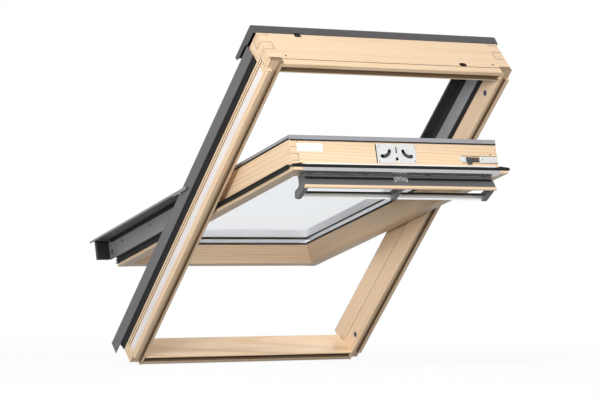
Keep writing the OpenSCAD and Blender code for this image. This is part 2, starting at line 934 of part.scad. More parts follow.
// Upper cladding strip of the sash, right hand
module upper_strip() {
  bar_z(lower_z, cover_high, [[cover_in, cover_foot], [cover_in + sheet_t, cover_foot],
    [cover_in + sheet_t, cover_y - sheet_t], [body_half - sheet_t, cover_y - sheet_t],
    [body_half - sheet_t, sash_out], [body_half, sash_out], [body_half, cover_y], [cover_in, cover_y]]);
  block([body_half - sheet_t, sash_out, cover_high - sheet_t], [body_half, cover_y - sheet_t, top_z]);
}

module upper_strip_left() {
  color("dimgray")
    in_sash()
      mirror([1, 0, 0])
        upper_strip();
}

module upper_strip_right() {
  color("dimgray")
    in_sash()
      upper_strip();
}

// Black cap closing the low end of a lower cover, right hand
module end_cap() {
  block([leg_x, toe_y + 2.5, tail_z - 13], [half_w - 1, flange_y, tail_z]);
}

module end_cap_left() {
  color("black")
    in_sash()
      mirror([1, 0, 0])
        end_cap();
}

module end_cap_right() {
  color("black")
    in_sash()
      end_cap();
}

// Pivot arm on a sash stile with its pin, right hand
module pivot_arm() {
  difference() {
    union() {
      block([body_half, pivot_at - 20, pivot_z - 36], [body_half + 4, pivot_at + 12, pivot_z + 36]);
      rod_x(body_half + 4, back_half - pivot_plate_t - 1, pivot_at, pivot_z, pin_r + 3);
      rod_x(back_half - pivot_plate_t - 1, back_half - 0.5, pivot_at, pivot_z, pin_r);
    }
    for (z = [pivot_z - 27, pivot_z + 27])
      rod_x(body_half - cut, body_half + 5, pivot_at - 4, z, 2.5);
  }
}

module pivot_arm_left() {
  color("silver")
    in_sash()
      mirror([1, 0, 0])
        pivot_arm();
}

module pivot_arm_right() {
  color("silver")
    in_sash()
      pivot_arm();
}

// A bar bent to an arc, standing along z
module bent_bar(r_mid, r_half, a0, a1) {
  rotate([0, 0, a0])
    rotate_extrude(angle = a1 - a0)
      translate([r_mid - r_half, 0])
        square([2 * r_half, 40]);
}

// The same arc with round ends, for slots
module bent(r_mid, r_half, a0, a1) {
  bent_bar(r_mid, r_half, a0, a1);
  for (a = [a0, a1])
    rotate([0, 0, a])
      translate([r_mid, 0, 0])
        cylinder(r = r_half, h = 40);
}

// Lock plate with its slots and the box behind it
module lock_case() {
  color("silver")
    in_sash()
      difference() {
        union() {
          slot_plate();
          difference() {
            block([-lock_w / 2 + 8, lock_y - 20, top_z - lock_deep], [lock_w / 2 - 8, lock_y + 20, top_z]);
            block([-lock_w / 2 + 8 + lock_wall, lock_y - 18.5, top_z - lock_deep + lock_wall],
              [lock_w / 2 - 8 - lock_wall, lock_y + 18.5, top_z]);
          }
          for (x = guide_places())
            rod_z(x, lock_y, top_z - lock_deep + lock_wall, top_z, guide_r);
        }
        for (s = [0, 1])
          mirror([s, 0, 0])
            translate([hook_x, lock_y + hook_rise, top_z - cut])
              bent(hook_arc, 5, 195, 285);
        slot_y(0, lock_y + 13, top_z - cut, top_z + 3, 24, 2);
        slot_y(0, lock_y - 18, top_z - cut, top_z + 3, 16, 4.5);
        for (x = [-lock_w / 2 + 5, lock_w / 2 - 5])
          for (y = [lock_y - 21, lock_y + 21])
            rod_z(x, y, top_z - cut, top_z + 3, 2);
      }
}

// Places of the two posts that guide the hooks
function guide_places() = [-lock_w / 12, lock_w / 12];

// The face plate of the lock with round corners
module slot_plate() {
  translate([0, lock_y, top_z])
    linear_extrude(1.5)
      union() {
        square([lock_w - 12, lock_h], center = true);
        square([lock_w, lock_h - 12], center = true);
        for (x = [6 - lock_w / 2, lock_w / 2 - 6])
          for (y = [6 - lock_h / 2, lock_h / 2 - 6])
            translate([x, y])
              circle(r = 6);
      }
}

module lock_screws() {
  color("silver")
    in_sash()
      for (x = [-lock_w / 2 + 5, lock_w / 2 - 5])
        for (y = [lock_y - 21, lock_y + 21]) {
          rod_z(x, y, top_z, top_z + 1.5, 2);
          rod_z(x, y, top_z + 1.5, top_z + 2.6, 3.4);
        }
}

// Guide block and face plate of the barrel bolt
module bolt_keeper() {
  color("silver")
    in_sash()
      difference() {
        union() {
          block([body_half - 60, bolt_y - 7, top_z - 14], [body_half, bolt_y + 7, top_z]);
          block([body_half - 61, bolt_y - 9, top_z], [body_half, bolt_y + 9, top_z + 1.5]);
        }
        rod_x(body_half - 62, body_half + cut, bolt_y, bolt_z, bolt_r + run_gap);
      }
}

// Slotted metal profile on the ledge
module vent_profile() {
  color("lightgray")
    in_sash()
      difference() {
        bar_x(-vent_half, vent_half, [[vent_y, top_z], [vent_y, ledge_z - 1], [vent_y + 1, ledge_z],
          [rim_y - 7, ledge_z], [rim_y - 7, top_z]]);
        for (i = [-vent_n : vent_n])
          translate([i * vent_pitch, 0, top_z + 13])
            rotate([-90, 0, 0])
              slot_z(0, 0, 0, rim_y, vent_slot, 3.5);
      }
}

module vent_filter() {
  color("black")
    in_sash()
      block([40 - rim_half, rim_y - 7, top_z], [rim_half - 40, rim_y, ledge_z - 7]);
}

// Pale cover over the filter
module vent_cover() {
  color("white")
    in_sash()
      bar_x(40 - rim_half, rim_half - 40, [[rim_y, top_z], [rim_y, ledge_z - 1], [rim_y + 1, ledge_z],
        [rim_y + 5, ledge_z], [rim_y + 6, ledge_z - 1], [rim_y + 6, top_z]]);
}

// Lugs and rod that carry the flap
module flap_hinges() {
  color("silver")
    in_sash()
      union() {
        rod_x(8 - flap_half, flap_half - 8, hinge_y, hinge_z, rod_r);
        for (x = lug_places()) {
          block([x - 4, hinge_y, hinge_z - 4.5], [x + 4, sash_at, hinge_z + 4.5]);
          rod_x(x - 4, x + 4, hinge_y, hinge_z, 4.5);
        }
      }
}

// Places of the flap lugs across
function lug_places() = [12 - bar_half, -flap_half / 3, flap_half / 3, bar_half - 12];

// Flap section, shut, about its hinge: depth and rise
module flap_shape(half) {
  bar_x(-half, half, [[2.5, 0], [2.5, 31], [0, 33], [-5, 33], [-8, 29], [-9, 6], [-5, 0]]);
  rod_x(-half, half, 0, 0, 5);
}

module flap_plate() {
  color("dimgray")
    in_flap()
      difference() {
        flap_shape(flap_half);
        rod_x(-flap_half - cut, flap_half + cut, 0, 0, rod_r + run_gap);
        for (x = lug_places())
          block([x - 4.5, -12, -6], [x + 4.5, 6, 5.5]);
      }
}

module flap_seal() {
  color("black")
    in_flap()
      block([8 - flap_half, 2.5, 7], [flap_half - 8, 4.1, 14]);
}

// Wooden edge of the flap, shut, about its hinge
module nosing_shape(half) {
  block([-half, -7, 33], [half, 1.5, 38]);
  rod_x(-half, half, -2.75, 38, 4.25);
}

module flap_nosing() {
  color("wheat")
    in_flap()
      nosing_shape(flap_half);
}

// Turns shapes drawn with the flap open back into the flap's own frame
module opened() {
  rotate([-drawn_swing, 0, 0])
    children();
}

// Control bar with round edges, drawn with the flap open
module bar_shape() {
  block([-bar_half, bar_y - bar_h / 2 + bar_t / 2, bar_rise - bar_t / 2],
    [bar_half, bar_y + bar_h / 2 - bar_t / 2, bar_rise + bar_t / 2]);
  rod_x(-bar_half, bar_half, bar_y - bar_h / 2 + bar_t / 2, bar_rise, bar_t / 2);
  rod_x(-bar_half, bar_half, bar_y + bar_h / 2 - bar_t / 2, bar_rise, bar_t / 2);
}

module control_bar() {
  color("gainsboro")
    in_flap()
      opened()
        bar_shape();
}

// Side outline of a bar end, drawn with the flap open: depth and rise from the hinge
module bar_end_outline() {
  polygon([[3, -17], [-5, -16], [-14, -15.5], [-21, -17], [-26, -20.5], [-29, -27],
    [bar_y + 14, bar_rise + 3.5], [bar_y + 9.5, bar_rise - 2], [bar_y + 0.5, bar_rise - 5],
    [bar_y - 7.5, bar_rise - 4], [bar_y - 10.5, bar_rise + 0.5], [bar_y - 9.5, bar_rise + 8],
    [-49, -20], [-42.5, -3.5], [-33.7, 13.4], [-19.5, 5.8], [-6, -4]]);
}

// A slice of the bar end between two places across, cut to the flap and its nosing
module bar_end(x0, x1) {
  difference() {
    opened()
      translate([x0, 0, 0])
        rotate([90, 0, 90])
          linear_extrude(x1 - x0)
            bar_end_outline();
    flap_shape(flap_half + cut);
    nosing_shape(flap_half + cut);
  }
}

module bar_end_left() {
  color("dimgray")
    in_flap()
      mirror([1, 0, 0])
        bar_end(bar_half, flap_half);
}

module bar_end_right() {
  color("dimgray")
    in_flap()
      bar_end(bar_half, flap_half);
}

// Middle bracket from the flap to the control bar
module bar_bracket() {
  color("dimgray")
    in_flap()
      difference() {
        bar_end(-bracket_half, bracket_half);
        opened()
          bar_shape();
      }
}

module lock_hooks() {
  color("silver")
    in_sash()
      union() {
        difference() {
          block([-lock_w / 2 + 11, lock_y - 16, hook_z - 5], [lock_w / 2 - 11, lock_y + 16, hook_z]);
          for (x = guide_places())
            rod_z(x, lock_y, hook_z - 5 - cut, hook_z + cut, guide_r + run_gap);
        }
        for (s = [0, 1])
          mirror([s, 0, 0])
            intersection() {
              translate([hook_x, lock_y + hook_rise, hook_z - cut])
                bent_bar(hook_arc, 3.5, 210, 272);
              block([-lock_w, 0, hook_z - cut], [lock_w, frame_h, top_z + 3.5]);
            }
      }
}

module barrel_bolt() {
  color("gray")
    in_sash()
      union() {
        rod_x(bolt_x + 28, body_half - 3.5, bolt_y, bolt_z, bolt_r);
        rod_x(bolt_x + 20, bolt_x + 34, bolt_y, bolt_z, 5.5);
        rod_z(bolt_x + 27, bolt_y, bolt_z, top_z + 5, 4);
      }
}

frame_head();
frame_sill();
frame_stile_left();
frame_stile_right();
collar_strip_left();
collar_strip_right();
hood();
upper_cover_left();
upper_cover_right();
side_cladding_left();
side_cladding_right();
side_seal_left();
side_seal_right();
lining_strip_left();
lining_strip_right();
upper_seal_left();
upper_seal_right();
head_stop_seal();
sill_cover();
striker();
pivot_plate_left();
pivot_plate_right();
bolt_bush_upper();
bolt_bush_lower();
sash_head();
sash_foot();
sash_stile_left();
sash_stile_right();
inner_pane();
outer_pane();
glass_spacer();
inner_glazing_seal();
outer_glazing_seal();
sash_seal();
lower_cover_left();
lower_cover_right();
foot_cover();
head_cover();
upper_strip_left();
upper_strip_right();
end_cap_left();
end_cap_right();
pivot_arm_left();
pivot_arm_right();
lock_case();
lock_screws();
bolt_keeper();
vent_profile();
vent_filter();
vent_cover();
flap_hinges();
flap_plate();
flap_seal();
flap_nosing();
control_bar();
bar_end_left();
bar_end_right();
bar_bracket();
lock_hooks();
barrel_bolt();
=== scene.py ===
"""Studio scene of a centre-pivot roof window: pine frame, swung sash, metal covers, glazing and flap."""

import logging
import math
from dataclasses import dataclass, field
from enum import Enum
from typing import Callable, Dict, List, Sequence, Tuple, Union

import bmesh
import bpy
from mathutils import Matrix, Vector


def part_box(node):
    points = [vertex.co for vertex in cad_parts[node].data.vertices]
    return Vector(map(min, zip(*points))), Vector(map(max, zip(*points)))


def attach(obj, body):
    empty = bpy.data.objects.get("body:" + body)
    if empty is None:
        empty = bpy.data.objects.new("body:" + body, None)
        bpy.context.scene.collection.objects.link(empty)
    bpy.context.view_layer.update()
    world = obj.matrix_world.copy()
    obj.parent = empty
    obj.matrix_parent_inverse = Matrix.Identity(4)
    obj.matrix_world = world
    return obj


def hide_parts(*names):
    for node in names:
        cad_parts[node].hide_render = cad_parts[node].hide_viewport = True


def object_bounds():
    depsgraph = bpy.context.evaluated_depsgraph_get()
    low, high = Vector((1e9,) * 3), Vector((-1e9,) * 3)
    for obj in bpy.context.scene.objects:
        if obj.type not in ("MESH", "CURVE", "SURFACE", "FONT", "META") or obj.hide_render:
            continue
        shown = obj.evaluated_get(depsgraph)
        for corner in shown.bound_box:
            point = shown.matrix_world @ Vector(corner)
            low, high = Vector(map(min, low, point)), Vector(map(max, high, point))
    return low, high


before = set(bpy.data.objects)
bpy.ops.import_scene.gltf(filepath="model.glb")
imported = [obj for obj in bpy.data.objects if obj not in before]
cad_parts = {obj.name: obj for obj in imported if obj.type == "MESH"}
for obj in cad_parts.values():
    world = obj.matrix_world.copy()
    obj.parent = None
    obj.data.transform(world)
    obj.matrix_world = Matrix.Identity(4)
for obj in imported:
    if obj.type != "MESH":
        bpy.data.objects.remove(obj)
CAD_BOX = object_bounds()

LOG = logging.getLogger("roof_window")

Shape = bmesh.types.BMesh
Edges = List[bmesh.types.BMEdge]
Node = bpy.types.Node
Socket = bpy.types.NodeSocket
Material = bpy.types.Material
Piece = bpy.types.Object
Point = Sequence[float]
Box = Tuple[Point, Point]
Colour = Tuple[float, float, float]
Tones = Dict[str, Colour]

MM = 0.001
WHITE: Colour = (1.0, 1.0, 1.0)
SIDES = (("left", -1.0), ("right", 1.0))
X_AXIS = 0
Z_AXIS = 2
ROUND_STEPS = 32
ROOF_PITCH = 45.0
SASH_SWING = 31.0
FLAP_SWING = 62.0
SEAT_MID = 29.0 * MM
PIVOT = Vector((0.0, 110.0 * MM, 582.0 * MM))
FLAP_HINGE = Vector((0.0, 31.5 * MM, 1086.0 * MM))
TOUCH = 0.05 * MM
TIGHT = 0.3 * MM
WELD = 0.002 * MM
FLAT_TURN = 0.5
SMOOTH_TURN = 40.0
ALONG = 0.99
MIDDLE_STOPS = (0.3, 0.7)


def turned(degrees: float) -> Matrix:
    """A turn about the axis across the window."""
    return Matrix.Rotation(math.radians(degrees), 4, "X")


def up_of(place: Matrix) -> Vector:
    """The direction of a local frame's third axis."""
    return (place.to_3x3() @ Vector((0.0, 0.0, 1.0))).normalized()


ROOF = turned(90.0 - ROOF_PITCH) @ Matrix.Translation((0.0, -SEAT_MID, 0.0))
SASH = ROOF @ Matrix.Translation(PIVOT) @ turned(SASH_SWING) @ Matrix.Translation(-PIVOT)
HANDLE = SASH @ Matrix.Translation(FLAP_HINGE)
FLAP_SHUT = HANDLE @ turned(FLAP_SWING)


class Run(Enum):
    """Which way a grain or a brushed line runs."""

    ACROSS = "across"
    ROOF = "up the roof"
    SASH = "up the sash"

    def axis(self) -> Vector:
        """The direction of the run in the row frame.

        Returns:
            A vector of length 1.
        """
        if self is Run.ROOF:
            return up_of(ROOF)
        if self is Run.SASH:
            return up_of(SASH)
        return Vector((1.0, 0.0, 0.0))

    def rotation(self, tilt: float) -> Point:
        """The turn that lays a pattern's first axis along the run.

        Args:
            tilt: Degrees by which the pattern leans off the run.

        Returns:
            The turn for a texture mapping.
        """
        lean = Matrix.Rotation(math.radians(tilt), 3, "Y")
        across = Vector((1.0, 0.0, 0.0)).rotation_difference(self.axis()).to_matrix()
        return (across @ lean).to_euler()


class Body(Enum):
    """The moving groups of the window."""

    FRAME = "frame"
    SASH = "sash"
    FLAP = "flap"
    HOOKS = "hooks"
    BOLT = "bolt"


class Rounding(Enum):
    """Roundings of edges by the kind of piece, in metres."""

    FOIL = 0.2 * MM
    PLATE = 0.3 * MM
    CUT = 0.4 * MM
    SHEET = 0.5 * MM
    MOULDED = 0.6 * MM
    HANDLE = 1.2 * MM
    CAP = 2.0 * MM


def scaled(colour: Colour, share: float) -> Colour:
    """A colour made lighter or darker, at most white."""
    return tuple(min(1.0, share * part) for part in colour)


class Wiring:
    """A node tree being wired: it adds shader nodes and joins them."""

    def __init__(self, tree: bpy.types.NodeTree) -> None:
        """Starts with an empty tree."""
        self.tree = tree
        self.tree.nodes.clear()

    def node(self, kind: str, **settings: object) -> Node:
        """Adds a node.

        Args:
            kind: Blender's name of the node type.
            settings: Properties to set on it.

        Returns:
            The new node.
        """
        made = self.tree.nodes.new(kind)
        for key, value in settings.items():
            setattr(made, key, value)
        return made

    def link(self, start: Socket, end: Socket) -> None:
        """Joins two sockets."""
        self.tree.links.new(start, end)

    def give(self, value: Union[float, Socket], end: Socket) -> None:
        """Sets a socket to a number or joins it to another socket.

        Args:
            value: The number or the other socket.
            end: The socket that receives it.
        """
        if isinstance(value, float):
            end.default_value = value
        else:
            self.link(value, end)

    def put(self, node: Node, values: Dict[str, object]) -> Node:
        """Sets plain values on a node's sockets.

        Args:
            node: The node.
            values: Socket names and their values.

        Returns:
            The same node.
        """
        for key, value in values.items():
            node.inputs[key].default_value = value
        return node

    def maths(self, operation: str, first: Socket, second: Union[float, Socket] = 0.0) -> Socket:
        """Does a sum.

        Args:
            operation: Name of the operation.
            first: First value.
            second: Second value, as a number or a socket.

        Returns:
            The answer, kept between 0 and 1.
        """
        made = self.node("ShaderNodeMath", operation=operation, use_clamp=True)
        self.link(first, made.inputs[0])
        self.give(second, made.inputs[1])
        return made.outputs[0]

    def span(self, value: Socket, low: float, high: float, start: float = 0.0, stop: float = 1.0) -> Socket:
        """Maps a value from one range to another.

        Args:
            value: The value.
            low: What the start becomes.
            high: What the stop becomes.
            start: Where the first range begins.
            stop: Where the first range ends.

        Returns:
            The new value.
        """
        ends = {"From Min": start, "From Max": stop, "To Min": low, "To Max": high}
        made = self.put(self.node("ShaderNodeMapRange"), ends)
        self.link(value, made.inputs["Value"])
        return made.outputs["Result"]

    def either(self, share: Socket, first: Node, second: Node) -> Socket:
        """Mixes two shaders.

        Args:
            share: How much of the second.
            first: Node of the first shader.
            second: Node of the second shader.

        Returns:
            The mixed shader.
        """
        made = self.node("ShaderNodeMixShader")
        for start, end in zip((share, first.outputs[0], second.outputs[0]), made.inputs):
            self.link(start, end)
        return made.outputs[0]

    def seen_directly(self) -> Socket:
        """A value of 1 on camera, mirror and glass rays.

        Returns:
            The value.
        """
        path = self.node("ShaderNodeLightPath").outputs
        seen = self.maths("MAXIMUM", path["Is Camera Ray"], path["Is Glossy Ray"])
        return self.maths("MAXIMUM", seen, path["Is Transmission Ray"])


class Bench(Wiring):
    """A material being wired around one principled shader."""

    noise_roughness = 0.55

    def __init__(self, name: str) -> None:
        """Starts a material with one principled shader.

        Args:
            name: Name of the material.
        """
        self.material = bpy.data.materials.new(name)
        self.material.use_nodes = True
        super().__init__(self.material.node_tree)
        self.output = self.node("ShaderNodeOutputMaterial")
        self.shader = self.node("ShaderNodeBsdfPrincipled")
        self.link(self.shader.outputs[0], self.output.inputs["Surface"])
        self.coordinates = self.node("ShaderNodeTexCoord")

    def feed(self, name: str, value: Socket) -> None:
        """Joins a value to an input of the shader."""
        self.link(value, self.shader.inputs[name])

    def stretched(self, run: Run, size: Point, centre: Vector, tilt: float = 0.0) -> Socket:
        """Object coordinates laid along a run and measured in pattern sizes.

        Args:
            run: Direction of the pattern's first axis.
            size: Size of one pattern unit along and across the run, in metres.
            centre: Origin of the pattern.
            tilt: Lean off the run, in degrees.

        Returns:
            The coordinate socket.
        """
        mapping = self.node("ShaderNodeMapping", vector_type="TEXTURE")
        self.put(mapping, {"Location": centre, "Rotation": run.rotation(tilt), "Scale": Vector(size)})
        self.link(self.coordinates.outputs["Object"], mapping.inputs["Vector"])
        return mapping.outputs["Vector"]

    def noise(self, vector: Socket, detail: float) -> Socket:
        """Adds a noise pattern of unit size.

        Args:
            vector: Coordinates.
            detail: Octaves.

        Returns:
            The grey value.
        """
        values = {"Scale": 1.0, "Detail": detail, "Roughness": self.noise_roughness}
        made = self.put(self.node("ShaderNodeTexNoise"), values)
        self.link(vector, made.inputs["Vector"])
        return made.outputs["Fac"]

    def specks(self, size: float, detail: float, centre: Vector) -> Socket:
        """Adds a noise that runs no special way."""
        return self.noise(self.stretched(Run.ACROSS, (size, size, size), centre), detail)

    def ramp(self, value: Socket, places: Point, colours: Sequence[Colour]) -> Socket:
        """Maps a grey value to colours.

        Args:
            value: The grey value.
            places: Grey values of the stops.
            colours: Colours of the stops.

        Returns:
            The colour socket.
        """
        made = self.node("ShaderNodeValToRGB")
        band = made.color_ramp
        while len(band.elements) < len(places):
            band.elements.new(0.5)
        for element, place, colour in zip(band.elements, places, colours):
            element.position = place
            element.color = (*colour, 1.0)
        self.link(value, made.inputs["Fac"])
        return made.outputs["Color"]

    def blend(self, share: Union[float, Socket], first: Socket, second: Socket, mode: str = "MIX") -> Socket:
        """Mixes two colours.

        Args:
            share: How much of the second, as a number or a socket.
            first: First colour.
            second: Second colour.
            mode: Blend mode.

        Returns:
            The mixed colour.
        """
        made = self.node("ShaderNodeMix", data_type="RGBA", blend_type=mode)
        self.give(share, made.inputs["Factor"])
        self.link(first, made.inputs["A"])
        self.link(second, made.inputs["B"])
        return made.outputs["Result"]

    def mottle(self, value: Socket, colour: Colour, spread: float) -> None:
        """Gives the shader a colour with a faint drift of tone."""
        tones = (scaled(colour, 1.0 - spread), scaled(colour, 1.0 + spread))
        self.feed("Base Color", self.ramp(value, MIDDLE_STOPS, tones))

    def bump(self, height: Socket, strength: float, distance: float) -> None:
        """Gives the shader a relief.

        Args:
            height: Grey height.
            strength: Strength of the relief.
            distance: Depth of the relief in metres.
        """
        made = self.put(self.node("ShaderNodeBump"), {"Strength": strength, "Distance": distance})
        self.link(height, made.inputs["Height"])
        self.feed("Normal", made.outputs["Normal"])


@dataclass(frozen=True)
class PineFinish:
    """Clear lacquered pine with straight rings, streaks, pores and darker end grain."""

    name: str
    run: Run
    seed: float
    pale: Colour = (0.855, 0.652, 0.446)
    honey: Colour = (0.800, 0.572, 0.362)
    late: Colour = (0.670, 0.440, 0.248)
    end: Colour = (0.640, 0.420, 0.236)
    heart_reach: Point = (0.17, 0.11, 0.16)
    heart_turn: float = 2.3
    ring_size: Point = (1.1, 0.030, 0.030)
    ring_lean: float = 1.6
    ring_bend: float = 2.6
    ring_stops: Point = (0.0, 0.5, 0.88, 1.0)
    streak_size: Point = (0.45, 0.011, 0.011)
    streak_stops: Point = (0.34, 0.58, 0.74)
    streak_share: Point = (0.3, 0.66)
    pore_size: Point = (0.035, 0.0011, 0.0011)
    pore_tone: Colour = (0.93, 0.93, 0.93)
    pore_stops: Point = (0.35, 0.65)
    pore_share: Point = (0.05, 0.24)
    end_limit: float = 0.85
    end_share: float = 0.16
    roughness: Point = (0.36, 0.52)
    coat: float = 0.12
    coat_roughness: float = 0.3
    relief: float = 0.16
    relief_depth: float = 0.25 * MM

    def heart(self, centre: Vector) -> Vector:
        """The middle of the rings, off to a side that the seed picks.

        Args:
            centre: Middle of the timber member.

        Returns:
            The middle of the rings.
        """
        across, deep, up = self.heart_reach
        drop = math.sin(self.heart_turn * self.seed)
        return centre + Vector((across * math.cos(self.seed), deep * drop, up * math.sin(self.seed)))

    def rings(self, bench: Bench, heart: Vector) -> Socket:
        """Adds the yearly rings.

        Args:
            bench: The material being wired.
            heart: Middle of the rings.

        Returns:
            The grey value.
        """
        made = bench.put(
            bench.node("ShaderNodeTexWave", wave_type="RINGS", rings_direction="X"),
            {"Scale": 1.0, "Distortion": self.ring_bend, "Detail": 2.0, "Detail Scale": 0.7,
             "Detail Roughness": 0.5})
        bench.link(bench.stretched(self.run, self.ring_size, heart, self.ring_lean), made.inputs["Vector"])
        return made.outputs["Fac"]

    def end_grain(self, bench: Bench) -> Socket:
        """The share of the end tone, which is more than nothing on faces that look along the run.

        Args:
            bench: The material being wired.

        Returns:
            The share.
        """
        facing = bench.node("ShaderNodeVectorMath", operation="DOT_PRODUCT")
        bench.link(bench.coordinates.outputs["Normal"], facing.inputs[0])
        facing.inputs[1].default_value = self.run.axis()
        straight = bench.maths("ABSOLUTE", facing.outputs["Value"])
        return bench.maths("MULTIPLY", bench.maths("GREATER_THAN", straight, self.end_limit), self.end_share)

    def build(self, centre: Vector) -> Material:
        """Wires the finish.

        Args:
            centre: Middle of the timber member.

        Returns:
            The material.
        """
        bench = Bench(self.name)
        heart = self.heart(centre)
        rings = self.rings(bench, heart)
        streaks = bench.noise(bench.stretched(self.run, self.streak_size, heart), 4.0)
        pores = bench.noise(bench.stretched(self.run, self.pore_size, centre), 2.0)
        ringed = bench.ramp(rings, self.ring_stops, (self.pale, self.pale, self.honey, self.late))
        streaked = bench.ramp(streaks, self.streak_stops, (self.pale, self.honey, self.late))
        wood = bench.blend(bench.span(streaks, *self.streak_share), streaked, ringed)
        dots = bench.ramp(pores, self.pore_stops, (self.pore_tone, WHITE))
        pored = bench.blend(bench.span(pores, *self.pore_share), wood, dots, "MULTIPLY")
        ends = bench.ramp(rings, (0.0, 1.0), (self.honey, self.end))
        bench.feed("Base Color", bench.blend(self.end_grain(bench), pored, ends))
        bench.feed("Roughness", bench.span(streaks, *self.roughness))
        bench.put(bench.shader, {"Coat Weight": self.coat, "Coat Roughness": self.coat_roughness})
        bench.bump(pores, self.relief, self.relief_depth)
        return bench.material


@dataclass(frozen=True)
class GrainedFinish:
    """A surface with a fine relief and a faint drift of tone."""

    name: str
    colour: Colour
    roughness: float = 0.55
    smoother: float = 0.08
    rougher: float = 0.08
    grain_size: float = 0.7 * MM
    relief: float = 0.15
    relief_depth: float = 0.05 * MM
    drift: float = 0.06
    drift_size: float = 0.1
    drift_detail: float = 2.0
    metal: float = 0.0
    shine: float = 0.5

    def build(self, centre: Vector) -> Material:
        """Wires the finish.

        Args:
            centre: Origin of the pattern.

        Returns:
            The material.
        """
        bench = Bench(self.name)
        fine = bench.specks(self.grain_size, 2.0, centre)
        bench.mottle(bench.specks(self.drift_size, self.drift_detail, centre), self.colour, self.drift)
        rough = (self.roughness - self.smoother, self.roughness + self.rougher)
        bench.feed("Roughness", bench.span(fine, *rough))
        bench.put(bench.shader, {"Metallic": self.metal, "Specular IOR Level": self.shine})
        bench.bump(fine, self.relief, self.relief_depth)
        return bench.material


@dataclass(frozen=True)
class MouldedFinish(GrainedFinish):
    """Rubber or plastic with a fine moulded grain."""


@dataclass(frozen=True)
class CoatedMetal(GrainedFinish):
    """Sheet metal with a baked paint: fine orange peel and a faint drift of tone."""

    roughness: float = 0.42
    smoother: float = 0.05
    rougher: float = 0.07
    grain_size: float = 1.0 * MM
    relief: float = 0.12
    relief_depth: float = 0.06 * MM
    drift: float = 0.08
    drift_size: float = 0.22
    drift_detail: float = 3.0
    metal: float = 0.15


@dataclass(frozen=True)
class BareMetal:
    """Plain metal with fine drawn lines."""

    name: str
    colour: Colour
    run: Run = Run.ACROSS
    roughness: float = 0.3
    smoother: float = 0.06
    rougher: float = 0.1
    dull: float = 0.9
    line: float = 0.1
    line_size: Point = (0.05, 0.5 * MM, 0.5 * MM)
    line_depth: float = 0.03 * MM
    spangle: float = 0.0
    spangle_size: Point = (4.0 * MM, 4.0 * MM, 4.0 * MM)
    spangle_stops: Point = (0.2, 0.8)
    rib_pitch: float = 0.0
    rib_wave: float = 0.31
    rib_groove_shade: Colour = (0.3, 0.3, 0.3)
    rib_stops: Point = (0.25, 0.6)
    rib_relief: float = 0.6
    rib_depth: float = 0.4 * MM

    def build(self, centre: Vector) -> Material:
        """Wires the finish.

        Args:
            centre: Origin of the pattern.

        Returns:
            The material.
        """
        bench = Bench(self.name)
        lines = bench.noise(bench.stretched(self.run, self.line_size, centre), 3.0)
        tone = bench.ramp(lines, MIDDLE_STOPS, (scaled(self.colour, self.dull), self.colour))
        if self.spangle:
            tone = self.spangled(bench, tone, centre)
        if self.rib_pitch:
            tone = self.ribbed(bench, tone, centre)
        else:
            bench.bump(lines, self.line, self.line_depth)
        bench.feed("Base Color", tone)
        rough = (self.roughness - self.smoother, self.roughness + self.rougher)
        bench.feed("Roughness", bench.span(lines, *rough))
        bench.put(bench.shader, {"Metallic": 1.0})
        return bench.material

    def spangled(self, bench: Bench, tone: Socket, centre: Vector) -> Socket:
        """Lays the crystal patches of a zinc coat over a tone.

        Args:
            bench: The material being wired.
            tone: The plain tone.
            centre: Origin of the pattern.

        Returns:
            The patched tone.
        """
        cells = bench.put(bench.node("ShaderNodeTexVoronoi"), {"Scale": 1.0})
        bench.link(bench.stretched(self.run, self.spangle_size, centre), cells.inputs["Vector"])
        tones = (WHITE, scaled(WHITE, 1.0 - self.spangle))
        patches = bench.ramp(cells.outputs["Distance"], self.spangle_stops, tones)
        return bench.blend(1.0, tone, patches, "MULTIPLY")

    def ribbed(self, bench: Bench, tone: Socket, centre: Vector) -> Socket:
        """Cuts grip rings across the run, with painted shade darkening the bands between them.

        Args:
            bench: The material being wired.
            tone: The plain tone.
            centre: Origin of the pattern.

        Returns:
            The banded tone.
        """
        waves = bench.node("ShaderNodeTexWave", wave_type="BANDS", bands_direction="X")
        bands = bench.put(waves, {"Scale": self.rib_wave})
        room = (self.rib_pitch, self.rib_pitch, self.rib_pitch)
        bench.link(bench.stretched(self.run, room, centre), bands.inputs["Vector"])
        bench.bump(bands.outputs["Fac"], self.rib_relief, self.rib_depth)
        # The dark bands between the rings are painted shade.
        shades = bench.ramp(bands.outputs["Fac"], self.rib_stops, (self.rib_groove_shade, WHITE))
        return bench.blend(1.0, tone, shades, "MULTIPLY")


@dataclass(frozen=True)
class PaneFinish:
    """Clear float glass that lets the lamps through."""

    name: str
    tint: Colour = (0.905, 0.915, 0.925)
    bend: float = 1.02

    def build(self, centre: Vector) -> Material:
        """Wires the finish.

        Args:
            centre: Not needed by a clear pane.

        Returns:
            The material.
        """
        bench = Bench(self.name)
        tint = (*self.tint, 1.0)
        bench.put(bench.shader, {"Base Color": tint, "Roughness": 0.0, "IOR": self.bend,
                                 "Transmission Weight": 1.0})
        clear = bench.put(bench.node("ShaderNodeBsdfTransparent"), {"Color": tint})
        shadow = bench.node("ShaderNodeLightPath").outputs["Is Shadow Ray"]
        bench.link(bench.either(shadow, bench.shader, clear), bench.output.inputs["Surface"])
        return bench.material


Finish = Union[PineFinish, GrainedFinish, BareMetal, PaneFinish]
